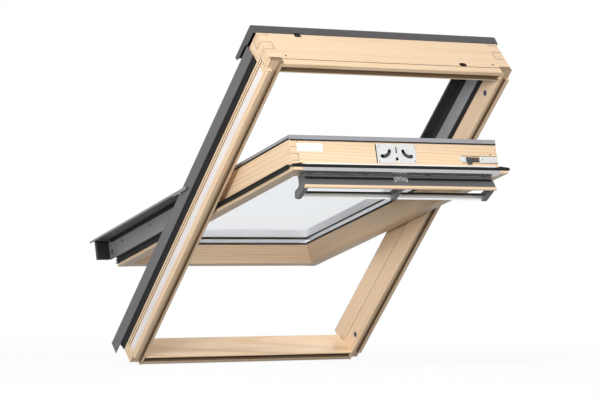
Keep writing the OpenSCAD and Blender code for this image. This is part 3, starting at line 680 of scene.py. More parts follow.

# The hood, the upper covers and the legs of the lower covers stand for the cover paint drawn darker or
# lighter: painted shade on the hood and upper covers, painted light on the legs.
DARK_COVER = CoatedMetal("dark_cover_paint", (0.112, 0.110, 0.117))
HOOD_COVER_SHADED = CoatedMetal("hood_cover_paint_shaded", (0.066, 0.060, 0.062))
LEG_COVER_LIT = CoatedMetal("leg_cover_paint_lit", (0.250, 0.249, 0.258))
MID_COVER = CoatedMetal("mid_cover_paint", (0.330, 0.325, 0.345), roughness=0.36)
LINING = CoatedMetal("lining_paint", (0.270, 0.272, 0.283), roughness=0.36)
UPPER_COVER_SHADED = CoatedMetal("upper_cover_paint_shaded", (0.040, 0.040, 0.042))
FLAP_PAINT = CoatedMetal("flap_paint", (0.120, 0.119, 0.126), roughness=0.4)
RUBBER = MouldedFinish("black_seal_rubber", (0.010, 0.010, 0.010), roughness=0.6, shine=0.2)
BLACK_PLASTIC = MouldedFinish("black_cap_plastic", (0.012, 0.012, 0.013), roughness=0.45, shine=0.3)
GREY_PLASTIC = MouldedFinish("grey_handle_plastic", (0.120, 0.117, 0.126), roughness=0.42)
PALE_STRIP = MouldedFinish("pale_collar_foil", (0.830, 0.775, 0.765), roughness=0.5)
WHITE_PLASTIC = MouldedFinish("white_cover_plastic", (0.860, 0.850, 0.825), roughness=0.4)
# A pale tone on cover faces beside the glass: painted reflection.
PALE_REFLECTION = MouldedFinish("painted_reflection_pale", (0.930, 0.932, 0.945), roughness=0.5)
PAPER = MouldedFinish("blank_plate_paper", (0.880, 0.885, 0.890), roughness=0.6, relief=0.08)
SEAM = MouldedFinish("joint_glue_line", (0.060, 0.036, 0.020), roughness=0.7, shine=0.2)
STEP_SHADE = MouldedFinish("step_shade", (0.300, 0.185, 0.102), roughness=0.8, shine=0.1)
BUSH_PLASTIC = MouldedFinish("grey_bush_plastic", (0.430, 0.420, 0.480), roughness=0.45)
LINK_METAL = BareMetal("bright_link_metal", (0.960, 0.962, 0.965), roughness=0.26)
SILVER = BareMetal("silver_profile_metal", (0.920, 0.922, 0.912), roughness=0.42)
VENT_METAL = BareMetal("vent_profile_metal", (0.545, 0.532, 0.540), roughness=0.38)
ZINC = BareMetal("zinc_plate_metal", (0.850, 0.858, 0.850), roughness=0.42, spangle=0.15)
DARK_STEEL = BareMetal("dark_hook_metal", (0.100, 0.100, 0.104), roughness=0.36)
BOLT_STEEL = BareMetal("ribbed_bolt_metal", (0.170, 0.168, 0.172), roughness=0.36, rib_pitch=3.0 * MM)
SPACER = BareMetal("spacer_bar_metal", (0.820, 0.835, 0.840), roughness=0.36)
GLASS = PaneFinish("clear_pane_glass")


def centre_of(node: str) -> Vector:
    """The middle of a CAD node's box."""
    low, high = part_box(node)
    return (Vector(low) + Vector(high)) / 2.0


def mean_point(mesh: bpy.types.Mesh) -> Vector:
    """The mean of a mesh's corners."""
    return sum((vert.co for vert in mesh.vertices), Vector()) / len(mesh.vertices)


def stand(name: str, data: bpy.types.ID) -> Piece:
    """Puts a new object into the scene.

    Args:
        name: Its name.
        data: Its mesh, lamp or camera.

    Returns:
        The object.
    """
    made = bpy.data.objects.new(name, data)
    bpy.context.scene.collection.objects.link(made)
    return made


class Shop:
    """Keeps one material for each finish and places finished meshes in the scene."""

    def __init__(self) -> None:
        """Starts with no materials."""
        self.materials: Dict[str, Material] = {}

    def finish(self, look: Finish, centre: Vector) -> Material:
        """Gives the material of a finish, made at its first use.

        Args:
            look: The finish.
            centre: Origin of its pattern.

        Returns:
            The material.
        """
        if look.name not in self.materials:
            self.materials[look.name] = look.build(centre)
        return self.materials[look.name]

    def place(self, name: str, bm: Shape, look: Finish, body: Body, slot: str,
              replaces: Sequence[str] = ()) -> Piece:
        """Turns a bmesh into a finished piece that rides on a body.

        Args:
            name: Name of the piece.
            bm: Its shape in the row frame.
            look: Its finish.
            body: The body that carries it.
            slot: Material slot of the record; not used.
            replaces: CAD nodes that it stands for.

        Returns:
            The object.
        """
        mesh = bpy.data.meshes.new(name)
        bm.to_mesh(mesh)
        bm.free()
        mesh.polygons.foreach_set("use_smooth", [True] * len(mesh.polygons))
        mesh.set_sharp_from_angle(angle=math.radians(SMOOTH_TURN))
        piece = stand(name, mesh)
        even = piece.modifiers.new("even_normals", "WEIGHTED_NORMAL")
        even.keep_sharp = True
        middle = centre_of(replaces[0]) if replaces else mean_point(mesh)
        mesh.materials.append(self.finish(look, middle))
        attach(piece, body.value)
        if replaces:
            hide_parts(*replaces)
        LOG.info("%s rides on %s", name, body.value)
        return piece


def solid_copy(node: str) -> Shape:
    """A CAD node's mesh, welded and with its flat faces joined.

    Args:
        node: Name of the node.

    Returns:
        The bmesh, in the row frame.
    """
    bm = bmesh.new()
    bm.from_mesh(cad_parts[node].data)
    bmesh.ops.remove_doubles(bm, verts=bm.verts[:], dist=WELD)
    bmesh.ops.dissolve_limit(bm, angle_limit=math.radians(FLAT_TURN), use_dissolve_boundaries=False,
                             verts=bm.verts[:], edges=bm.edges[:], delimit={"NORMAL"})
    return bm


def sharp_edges(bm: Shape, least: float) -> Edges:
    """Edges that turn by more than an angle."""
    limit = math.radians(least)
    return [edge for edge in bm.edges if len(edge.link_faces) == 2 and edge.calc_face_angle() > limit]


def round_edges(bm: Shape, edges: Sequence[bmesh.types.BMEdge], radius: float, segments: int) -> None:
    """Rounds edges.

    Args:
        bm: The shape.
        edges: The edges to round.
        radius: Width of the rounding.
        segments: Steps of the rounding.
    """
    if edges:
        bmesh.ops.bevel(bm, geom=list(edges), offset=radius, offset_type="OFFSET", segments=segments,
                        profile=0.5, affect="EDGES", clamp_overlap=True, material=-1)


def block(box: Box, place: Matrix) -> Shape:
    """A box between two corners of a local frame.

    Args:
        box: Its corners in millimetres.
        place: The local frame.

    Returns:
        The bmesh in the row frame.
    """
    bm = bmesh.new()
    start, end = (MM * Vector(corner) for corner in box)
    made = bmesh.ops.create_cube(bm, size=1.0)
    grow = Matrix.Diagonal((*(end - start), 1.0))
    seat = place @ Matrix.Translation((start + end) / 2.0)
    bmesh.ops.transform(bm, matrix=seat @ grow, verts=made["verts"])
    return bm


def slab(box: Box, place: Matrix, radius: float) -> Shape:
    """A box with rounded edges.

    Args:
        box: Its corners in millimetres.
        place: The local frame.
        radius: Rounding in millimetres.

    Returns:
        The bmesh in the row frame.
    """
    bm = block(box, place)
    round_edges(bm, bm.edges[:], radius * MM, 2)
    return bm


def side_slab(sign: float, box: Box, place: Matrix, radius: float) -> Shape:
    """A rounded box on the right side, or its mirror image on the left.

    Args:
        sign: 1 for right and -1 for left.
        box: Its corners on the right side, in millimetres.
        place: The local frame.
        radius: Rounding in millimetres.

    Returns:
        The bmesh in the row frame.
    """
    low, high = box
    near, far = sorted((sign * low[0], sign * high[0]))
    return slab(((near, *low[1:]), (far, *high[1:])), place, radius)


def shifted(box: Box, x: float = 0.0, y: float = 0.0, z: float = 0.0) -> Box:
    """A box moved within its local frame."""
    low, high = (tuple(Vector(corner) + Vector((x, y, z))) for corner in box)
    return low, high


def disc(centre: Point, radius: float, thick: float, place: Matrix) -> Shape:
    """A flat round head that lies across the third axis of a local frame.

    Args:
        centre: Middle of its foot, in millimetres.
        radius: Its radius in millimetres.
        thick: Its height in millimetres.
        place: The local frame.

    Returns:
        The bmesh in the row frame.
    """
    bm = bmesh.new()
    made = bmesh.ops.create_cone(bm, cap_ends=True, segments=ROUND_STEPS, radius1=radius * MM,
                                 radius2=radius * MM, depth=thick * MM)
    seat = MM * (Vector(centre) + Vector((0.0, 0.0, thick / 2.0)))
    bmesh.ops.transform(bm, matrix=place @ Matrix.Translation(seat), verts=made["verts"])
    return bm


def side_disc(sign: float, centre: Point, radius: float, thick: float, place: Matrix) -> Shape:
    """A flat round head that looks away from the middle, on the right side or mirrored to the left.

    Args:
        sign: 1 for right and -1 for left.
        centre: Middle of its foot on the right side, in millimetres.
        radius: Its radius in millimetres.
        thick: Its height in millimetres.
        place: The local frame.

    Returns:
        The bmesh in the row frame.
    """
    foot = Matrix.Translation(MM * Vector((sign * centre[0], *centre[1:])))
    outwards = Matrix.Rotation(math.radians(90.0 * sign), 4, "Y")
    return disc((0.0, 0.0, 0.0), radius, thick, place @ foot @ outwards)


def cross_ring(centre: Point, inner: float, outer: float, thick: float, place: Matrix) -> Shape:
    """A flat ring whose axis runs across the window.

    Args:
        centre: Middle of its left face, in millimetres.
        inner: Radius of its hole in millimetres.
        outer: Its outer radius in millimetres.
        thick: Its thickness in millimetres.
        place: The local frame.

    Returns:
        The bmesh in the row frame.
    """
    bm = bmesh.new()
    outline = ((inner, 0.0), (outer, 0.0), (outer, thick), (inner, thick))
    corners = [bm.verts.new((reach * MM, 0.0, level * MM)) for reach, level in outline]
    rims = [bm.edges.new((corner, corners[step - 3])) for step, corner in enumerate(corners)]
    bmesh.ops.spin(bm, geom=corners + rims, cent=Vector(), axis=Vector((0.0, 0.0, 1.0)),
                   angle=2.0 * math.pi, steps=ROUND_STEPS, use_merge=True)
    seat = Matrix.Translation(MM * Vector(centre)) @ Matrix.Rotation(math.radians(90.0), 4, "Y")
    bmesh.ops.transform(bm, matrix=place @ seat, verts=bm.verts[:])
    bmesh.ops.recalc_face_normals(bm, faces=bm.faces[:])
    return bm


def upright_edges(bm: Shape, place: Matrix) -> Edges:
    """Finds the edges that run along the third axis of a local frame.

    Args:
        bm: The shape.
        place: The local frame.

    Returns:
        The edges.
    """
    up = up_of(place)
    return [edge for edge in bm.edges
            if abs((edge.verts[1].co - edge.verts[0].co).normalized().dot(up)) > ALONG]


def joined(parts: Sequence[Shape]) -> Shape:
    """Gathers several closed shapes into one.

    Args:
        parts: The shapes, which are used up.

    Returns:
        One bmesh with all of them.
    """
    whole = bmesh.new()
    for part in parts:
        mesh = bpy.data.meshes.new("part")
        part.to_mesh(mesh)
        part.free()
        whole.from_mesh(mesh)
        bpy.data.meshes.remove(mesh)
    return whole


@dataclass(frozen=True)
class Trim:
    """A CAD node that is copied with rounded edges and given a finish."""

    node: str
    look: Finish
    slot: str
    rounding: Rounding = Rounding.SHEET
    segments: int = 2
    least_turn: float = 28.0

    def build(self, shop: Shop, body: Body) -> Piece:
        """Builds the dressed copy.

        Args:
            shop: Where the piece is placed.
            body: The body that carries it.

        Returns:
            The dressed piece.
        """
        bm = solid_copy(self.node)
        round_edges(bm, sharp_edges(bm, self.least_turn), self.rounding.value, self.segments)
        return shop.place(f"{self.node}_dressed", bm, self.look, body, self.slot, (self.node,))


def both_sides(stem: str, look: Finish, slot: str, rounding: Rounding = Rounding.SHEET) -> List[Trim]:
    """The left and right piece of a pair."""
    return [Trim(f"{stem}_{side}", look, slot, rounding) for side, _ in SIDES]


@dataclass
class Assembly:
    """A sub-assembly and the shop that its pieces are placed in."""

    shop: Shop

    def add(self, name: str, parts: Sequence[Shape], look: Finish, body: Body, slot: str) -> None:
        """Places several shapes as one piece."""
        self.shop.place(name, joined(parts), look, body, slot)

    def dress(self, body: Body, trims: Sequence[Trim]) -> List[Piece]:
        """Builds the dressed copies that ride on a body."""
        return [trim.build(self.shop, body) for trim in trims]


class Cut(Enum):
    """How a face of a timber member was cut; faces in grooves, saw lines and holes get painted shade."""

    PLANED = 0
    GROOVE = 1
    SHADED_HOLLOW = 2


# Much darker pine for faces in the lining groove and in saw lines and holes: painted shade, not another wood.
PAINTED_SHADE_TONES: Dict[Cut, Tones] = {
    Cut.GROOVE: {"pale": (0.240, 0.160, 0.092), "honey": (0.210, 0.135, 0.075),
                 "late": (0.175, 0.108, 0.058), "end": (0.160, 0.100, 0.054)},
    Cut.SHADED_HOLLOW: {"pale": (0.075, 0.042, 0.025), "honey": (0.066, 0.036, 0.021),
               "late": (0.055, 0.030, 0.017), "end": (0.050, 0.027, 0.015)},
}


@dataclass
class TimberMember:
    """One pine member: its node, grain and the long edges that are rounded more."""

    node: str
    run: Run
    seed: float
    place: Matrix
    body: Body
    slot: str
    arris: Callable[[Vector], bool]
    cut: Callable[[Vector], Cut]
    arris_radius: float = 3.2 * MM
    arris_turn: float = 40.0
    arris_steps: int = 4
    edge_radius: float = 0.9 * MM
    edge_turn: float = 50.0
    edge_steps: int = 2
    least_edge: float = 6.0 * MM

    def build(self, shop: Shop) -> None:
        """Rounds a copy of the node and dresses it.

        Args:
            shop: Where the piece is placed.
        """
        bm = solid_copy(self.node)
        inverse = self.place.inverted()
        long_edges = [edge for edge in sharp_edges(bm, self.arris_turn)
                      if all(self.arris(inverse @ vert.co) for vert in edge.verts)]
        round_edges(bm, long_edges, self.arris_radius, self.arris_steps)
        small = [edge for edge in sharp_edges(bm, self.edge_turn) if edge.calc_length() > self.least_edge]
        round_edges(bm, small, self.edge_radius, self.edge_steps)
        for face in bm.faces:
            face.material_index = self.cut(inverse @ face.calc_center_median()).value
        has_painted_shade = any(face.material_index for face in bm.faces)
        look = PineFinish(f"pine_{self.node}", self.run, self.seed)
        piece = shop.place(f"{self.node}_timber", bm, look, self.body, self.slot, (self.node,))
        # Faces in grooves, saw lines and holes get the darker pine copies: painted shade.
        if has_painted_shade:
            for cut, tones in PAINTED_SHADE_TONES.items():
                look = PineFinish(f"{cut.name.lower()}_{self.node}", self.run, self.seed, **tones)
                piece.data.materials.append(shop.finish(look, centre_of(self.node)))


@dataclass
class FrameTimber(Assembly):
    """The four pine members of the frame."""

    rails: Dict[str, float] = field(default_factory=lambda: {"frame_head": 0.4, "frame_sill": 1.9})
    stiles: Dict[str, float] = field(
        default_factory=lambda: {"frame_stile_left": 3.1, "frame_stile_right": 4.6})
    half_w: float = 390.0 * MM
    in_half: float = 353.0 * MM
    height: float = 1178.0 * MM
    head_in: float = 1145.0 * MM
    sill_h: float = 31.0 * MM
    lip_w: float = 13.0 * MM
    groove_w: float = 15.0 * MM
    groove_t: float = 11.0 * MM
    strip_w: float = 9.0 * MM
    kerf_from: float = 44.0 * MM
    kerf_to: float = 58.0 * MM
    kerf_t: float = 4.0 * MM
    head_kerf_from: float = 17.5 * MM
    head_kerf_to: float = 20.5 * MM
    head_kerf_t: float = 3.0 * MM
    head_h: float = 33.0 * MM
    cable_x: float = 232.0 * MM
    cable_y: float = 27.0 * MM
    cable_half: float = 12.0 * MM
    cable_r: float = 7.0 * MM
    pilot_x: float = 335.0 * MM
    pilot_y: float = 32.0 * MM
    pilot_r: float = 3.3 * MM
    notch_from: float = -273.0 * MM
    notch_to: float = -253.0 * MM
    notch_y: float = 112.0 * MM
    notch_t: float = 6.0 * MM

    def stile_arris(self, at: Vector) -> bool:
        """Finds the long room-side edges of a stile.

        Args:
            at: A corner of the stile, in the local frame.

        Returns:
            True on such an edge.
        """
        outer = abs(abs(at.x) - self.half_w) < TOUCH
        inner = abs(abs(at.x) - self.in_half) < TOUCH
        return abs(at.y) < TOUCH and (outer or inner)

    def rail_arris(self, at: Vector) -> bool:
        """Finds the long room-side edges of the head and the sill."""
        levels = (0.0, self.sill_h, self.head_in, self.height)
        return abs(at.y) < TOUCH and any(abs(at.z - level) < TOUCH for level in levels)

    def stile_cut(self, at: Vector) -> Cut:
        """Tells the lining groove and the saw lines of a stile from its planed faces.

        Args:
            at: Middle of a face, in the local frame.

        Returns:
            How the face was cut, which picks its painted shade.
        """
        across = abs(at.x)
        saw = self.half_w - self.kerf_t - TIGHT < across < self.half_w - TIGHT
        if saw and self.kerf_from < at.y < self.kerf_to:
            return Cut.SHADED_HOLLOW
        deep = TIGHT < at.y < self.groove_t + TIGHT
        if deep and self.in_half + self.strip_w - TIGHT < across < self.half_w - self.lip_w + TIGHT:
            return Cut.GROOVE
        return Cut.PLANED

    def is_holed(self, at: Vector) -> bool:
        """Finds the saw line, the cable hole, the pilot holes and the notch of the head.

        Args:
            at: Middle of a face, in the local frame.

        Returns:
            True inside one of them.
        """
        below = self.height - at.z
        saw = below < self.head_kerf_t + TIGHT and self.head_kerf_from < at.y < self.head_kerf_to
        beside_cable = abs(at.x - self.cable_x) < self.cable_half + TIGHT
        cable = beside_cable and abs(at.y - self.cable_y) < self.cable_r + TIGHT
        beside_pilot = abs(abs(at.x) - self.pilot_x) < self.pilot_r
        pilot = beside_pilot and abs(at.y - self.pilot_y) < self.pilot_r
        beside_notch = self.notch_from - TIGHT < at.x < self.notch_to + TIGHT
        notch = beside_notch and at.y > self.notch_y - TIGHT and below < self.notch_t + TIGHT
        return TIGHT < below < self.head_h - TIGHT and (saw or cable or pilot or notch)

    def rail_cut(self, at: Vector) -> Cut:
        """Tells the lining groove, saw line and holes of the head or the sill from its planed faces.

        Args:
            at: Middle of a face, in the local frame.

        Returns:
            How the face was cut, which picks its painted shade.
        """
        if self.is_holed(at):
            return Cut.SHADED_HOLLOW
        deep = TIGHT < at.y < self.groove_t + TIGHT
        from_edge = min(at.z, self.height - at.z)
        if deep and self.lip_w - TIGHT < from_edge < self.lip_w + self.groove_w + TIGHT:
            return Cut.GROOVE
        return Cut.PLANED

    def build(self) -> None:
        """Builds the four members."""
        for node, seed in self.rails.items():
            TimberMember(node, Run.ACROSS, seed, ROOF, Body.FRAME, "frame_timber", self.rail_arris,
                         self.rail_cut).build(self.shop)
        for node, seed in self.stiles.items():
            TimberMember(node, Run.ROOF, seed, ROOF, Body.FRAME, "frame_timber", self.stile_arris,
                         self.stile_cut).build(self.shop)


@dataclass
class SashTimber(Assembly):
    """The four pine members of the sash and the nosing of the flap."""

    rim_half: float = 345.0 * MM
    face_y: float = 37.5 * MM
    foot_z: float = 34.5 * MM

    def stile_arris(self, at: Vector) -> bool:
        """True on the long room-side edges of a sash stile."""
        return abs(at.y - self.face_y) < TOUCH and abs(abs(at.x) - self.rim_half) < TOUCH

    def foot_arris(self, at: Vector) -> bool:
        """True on the long room-side edge of the sash foot."""
        return abs(at.y - self.face_y) < TOUCH and abs(at.z - self.foot_z) < TOUCH

    def nowhere(self, at: Vector) -> bool:
        """Marks no place."""
        return False

    def planed(self, at: Vector) -> Cut:
        """Every face of a sash member is planed."""
        return Cut.PLANED

    def build(self) -> None:
        """Builds the members and the nosing."""
        members = (
            ("sash_head", Run.ACROSS, 5.3, SASH, Body.SASH, self.nowhere),
            ("sash_foot", Run.ACROSS, 2.5, SASH, Body.SASH, self.foot_arris),
            ("sash_stile_left", Run.SASH, 0.9, SASH, Body.SASH, self.stile_arris),
            ("sash_stile_right", Run.SASH, 3.8, SASH, Body.SASH, self.stile_arris),
            ("flap_nosing", Run.ACROSS, 1.2, HANDLE, Body.FLAP, self.nowhere),
        )
        for node, run, seed, place, body, arris in members:
            TimberMember(node, run, seed, place, body, "sash_timber", arris, self.planed).build(self.shop)


@dataclass
class JointSeams(Assembly):
    """Dark lines in the finger joints of frame and sash, and a line of painted shadow along the stiles' step,
    in millimetres.
    """

    half_w: float = 389.0
    in_half: float = 353.0
    back_half: float = 358.0
    height: float = 1178.0
    head_in: float = 1145.0
    head_back: float = 1150.0
    depth: float = 121.0
    arris: float = 4.0
    short: float = 1.0
    fingers: Point = (24.0, 58.0, 86.0, 114.0)
    stile_face: float = 390.0
    step_at: float = 58.0
    step_low: float = 33.0
    step_wide: float = 1.8
    sash_from: float = 310.0
    sash_to: float = 332.0
    sash_top: float = 1092.5
    sash_depth: float = 128.0
    sash_fingers: Point = (71.5, 90.5, 109.5)
    wide: float = 1.2
    proud: float = 0.06
    deep: float = 1.0
    edge: float = 0.02

    def line(self, sign: float, start: Point, end: Point, place: Matrix, face: int) -> Shape:
        """A thin bar let into a face, between two points of that face.

        Args:
            sign: 1 for right and -1 for left.
            start: One end, for the right side.
            end: Other end, for the right side.
            place: The local frame.
            face: Axis that the face looks along.

        Returns:
            The bmesh in the row frame.
        """
        low = list(start)
        high = list(end)
        for axis in range(3):
            if axis == face:
                low[axis] -= self.deep
                high[axis] += self.proud
            elif low[axis] == high[axis]:
                low[axis] -= self.wide / 2.0
                high[axis] += self.wide / 2.0
        return side_slab(sign, (low, high), place, self.edge)

    def head_lines(self, sign: float) -> List[Shape]:
        """Lines on the outer face of the frame head at one end.

        Args:
            sign: 1 for right and -1 for left.

        Returns:
            The bars.
        """
        first, second, third, fourth = self.fingers
        inner = (self.in_half, self.back_half, self.back_half, self.back_half)
        runs = [((near, y), (self.half_w, y)) for near, y in zip(inner, self.fingers)]
        runs.append(((self.in_half, self.arris), (self.in_half, first)))
        runs.append(((self.back_half, second), (self.back_half, third)))
        runs.append(((self.back_half, fourth), (self.back_half, self.depth)))
        top = self.height
        return [self.line(sign, (*start, top), (*end, top), ROOF, Z_AXIS) for start, end in runs]

    def stile_lines(self, sign: float) -> List[Shape]:
        """Lines on the outer face of a frame stile at its upper end.

        Args:
            sign: 1 for right and -1 for left.

        Returns:
            The bars.
        """
        first, second, third, fourth = self.fingers
        top = self.height - self.short
        runs = [((second, self.head_in), (second, top)), ((third, self.head_back), (third, top)),
                ((fourth, self.head_back), (fourth, top)), ((first, self.head_in), (second, self.head_in)),
                ((third, self.head_back), (fourth, self.head_back))]
        side = self.stile_face
        return [self.line(sign, (side, *start), (side, *end), ROOF, X_AXIS) for start, end in runs]

    def step_line(self, sign: float) -> Shape:
        """Line of painted shadow along the step on the inner face of a frame stile.

        Args:
            sign: 1 for right and -1 for left.

        Returns:
            The bar.
        """
        low = (self.in_half - self.proud, self.step_at - self.step_wide, self.step_low)
        high = (self.in_half + self.deep, self.step_at, self.head_in - self.short)
        return side_slab(sign, (low, high), ROOF, self.edge)

    def sash_lines(self) -> List[Shape]:
        """Lines on the face of the sash head at its left end.

        Returns:
            The bars.
        """
        first, second, third = self.sash_fingers
        runs = [((self.sash_from, y), (self.sash_to, y)) for y in self.sash_fingers]
        runs.append(((self.sash_from, first), (self.sash_from, second)))
        runs.append(((self.sash_from, third), (self.sash_from, self.sash_depth)))
        top = self.sash_top
        return [self.line(-1.0, (*start, top), (*end, top), SASH, Z_AXIS) for start, end in runs]

    def build(self) -> None:
        """Builds the lines of each corner and of the steps."""
        for side, sign in SIDES:
            lines = self.head_lines(sign) + self.stile_lines(sign)
            self.add(f"corner_seams_{side}", lines, SEAM, Body.FRAME, "frame_timber")
        self.add("sash_seams", self.sash_lines(), SEAM, Body.SASH, "sash_timber")
        steps = [self.step_line(sign) for _, sign in SIDES]
        self.add("step_lines", steps, STEP_SHADE, Body.FRAME, "frame_timber")


@dataclass
class FrameCovers(Assembly):
    """Metal covers, linings, strips, seals and fittings of the frame; bush sizes are in millimetres."""

    covers: Tuple[Trim, ...] = (
        Trim("hood", HOOD_COVER_SHADED, "dark_cladding"),
        Trim("sill_cover", DARK_COVER, "dark_cladding"),
        *both_sides("upper_cover", UPPER_COVER_SHADED, "dark_cladding"),
        *both_sides("side_cladding", DARK_COVER, "dark_cladding"),
        *both_sides("lining_strip", LINING, "mid_cladding"),
        *both_sides("side_seal", RUBBER, "black_rubber"),
        *both_sides("upper_seal", RUBBER, "black_rubber"),
        Trim("head_stop_seal", RUBBER, "black_rubber"),
        *both_sides("collar_strip", PALE_STRIP, "pale_strip", Rounding.FOIL),
        Trim("bolt_bush_upper", BUSH_PLASTIC, "black_plastic", Rounding.CUT),
        Trim("bolt_bush_lower", BUSH_PLASTIC, "black_plastic", Rounding.CUT),
    )
    fittings: Tuple[Trim, ...] = (
        Trim("striker", ZINC, "zinc_steel", Rounding.PLATE),
        *both_sides("pivot_plate", ZINC, "zinc_steel"),
    )
    bush_x: float = 354.5
    bush_y: float = 25.0
    bush_r: float = 5.25
    bottom_t: float = 0.5
    bush_levels: Point = (85.5, 1078.5)
    mouth_x: float = 352.75
    mouth_r: float = 7.4
    flange_r: float = 9.6
    ring_t: float = 0.3

    def bush_marks(self) -> None:
        """Builds the dark bottom, the dark mouth and the flange of each bolt bush; the dark bottom is painted
        shade in the hole.
        """
        # Black discs at the bottoms of the bush holes: painted shade.
        bottoms = [side_disc(1.0, (self.bush_x, self.bush_y, z), self.bush_r, self.bottom_t, ROOF)
                   for z in self.bush_levels]
        self.add("bush_bottoms", bottoms, BLACK_PLASTIC, Body.FRAME, "black_plastic")
        spots = [(self.mouth_x, self.bush_y, z) for z in self.bush_levels]
        mouths = [cross_ring(spot, self.bush_r, self.mouth_r, self.ring_t, ROOF) for spot in spots]
        self.add("bush_mouths", mouths, BLACK_PLASTIC, Body.FRAME, "black_plastic")
        flanges = [cross_ring(spot, self.mouth_r, self.flange_r, self.ring_t, ROOF) for spot in spots]
        self.add("bush_flanges", flanges, BUSH_PLASTIC, Body.FRAME, "black_plastic")

    def build(self) -> None:
        """Builds the covers, the marks of the bushes, the striker and the pivot plates."""
        self.dress(Body.FRAME, self.covers)
        self.bush_marks()
        self.dress(Body.FRAME, self.fittings)


@dataclass
class SashCovers(Assembly):
    """Metal covers, seals, caps and pivots of the sash; boxes and marks are in millimetres."""

    glass_covers: Tuple[Trim, ...] = (
        *both_sides("lower_cover", LEG_COVER_LIT, "dark_cladding"),
        Trim("foot_cover", DARK_COVER, "dark_cladding"),
        Trim("head_cover", MID_COVER, "mid_cladding"),
        *both_sides("upper_strip", MID_COVER, "mid_cladding"),
    )
    fittings: Tuple[Trim, ...] = (
        *both_sides("end_cap", BLACK_PLASTIC, "black_plastic", Rounding.CAP),
        *both_sides("pivot_arm", ZINC, "zinc_steel", Rounding.CUT),
        Trim("sash_seal", RUBBER, "black_rubber", Rounding.PLATE),
    )
    day_half: float = 291.3 * MM
    day_low: float = 90.7 * MM
    day_high: float = 1036.3 * MM
    flange_shadow: Box = ((347.5, 117.0, 20.0), (354.0, 125.9, 530.0))
    flange_round: float = 0.6
    toe_seal: Box = ((341.0, 61.0, 38.0), (349.5, 67.4, 530.0))
    toe_round: float = 1.0
    strip_line: Box = ((333.0, 129.1, 540.0), (333.5, 134.0, 1092.0))
    head_line: Box = ((-332.5, 126.2, 1094.0), (332.5, 130.0, 1094.5))
    thin_round: float = 0.1
    hole: Point = (347.5, 89.0, 12.0)
    hole_r: float = 6.8
    plug: Point = (347.9, 89.0, 12.0)
    plug_r: float = 3.6
    mark_t: float = 0.4
    slot_bar: Box = ((347.4, 101.0, 0.0), (347.8, 113.0, 3.0))
    slot_hook: Box = ((347.4, 101.0, 3.0), (347.8, 104.0, 8.0))
    slot_levels: Point = (85.0, 273.0)

    def painted_reflection_faces(self, piece: Piece) -> None:
        """Gives the faces of a cover that stand beside the glass a pale finish, a painted reflection.

        Args:
            piece: A dressed cover.
        """
        inverse = SASH.inverted()
        piece.data.materials.append(self.shop.finish(PALE_REFLECTION, Vector(PIVOT)))
        for face in piece.data.polygons:
            at = inverse @ face.center
            if abs(at.x) < self.day_half and self.day_low < at.z < self.day_high:
                face.material_index = 1

    def cover_seals_and_shadow(self, side: str, sign: float) -> None:
        """Builds the black strips under a lower cover, the one under the flange painted shadow and the one at
        the toe a seal, and the dark line under an upper strip.

        Args:
            side: Left or right.
            sign: -1 on the left and 1 on the right.
        """
        # The black strip under the flange is painted shadow; the strip at the toe is the seal.
        strips = [side_slab(sign, self.flange_shadow, SASH, self.flange_round),
                  side_slab(sign, self.toe_seal, SASH, self.toe_round)]
        self.add(f"cover_seal_{side}", strips, RUBBER, Body.SASH, "black_rubber")
        line = side_slab(sign, self.strip_line, SASH, self.thin_round)
        self.shop.place(f"strip_line_{side}", line, RUBBER, Body.SASH, "black_rubber")

    def cover_marks(self, side: str, sign: float) -> None:
        """Builds the dark slots and the plugged round hole on the outer leg of a lower cover; the black marks
        are painted shade in the openings.

        Args:
            side: Left or right.
            sign: -1 on the left and 1 on the right.
        """
        # Black marks for the slots and the hole: painted shade in the openings.
        marks = [side_disc(sign, self.hole, self.hole_r, self.mark_t, SASH)]
        for level in self.slot_levels:
            for box in (self.slot_bar, self.slot_hook):
                marks.append(side_slab(sign, shifted(box, z=level), SASH, self.thin_round))
        self.add(f"cover_marks_{side}", marks, BLACK_PLASTIC, Body.SASH, "black_plastic")
        plug = side_disc(sign, self.plug, self.plug_r, self.mark_t, SASH)
        self.shop.place(f"cover_plug_{side}", plug, LEG_COVER_LIT, Body.SASH, "dark_cladding")

    def build(self) -> None:
        """Builds the covers, their seals and their marks."""
        for piece in self.dress(Body.SASH, self.glass_covers):
            self.painted_reflection_faces(piece)
        self.dress(Body.SASH, self.fittings)
        for side, sign in SIDES:
            self.cover_seals_and_shadow(side, sign)
            self.cover_marks(side, sign)
        head_line = slab(self.head_line, SASH, self.thin_round)
        self.shop.place("head_line", head_line, RUBBER, Body.SASH, "black_rubber")


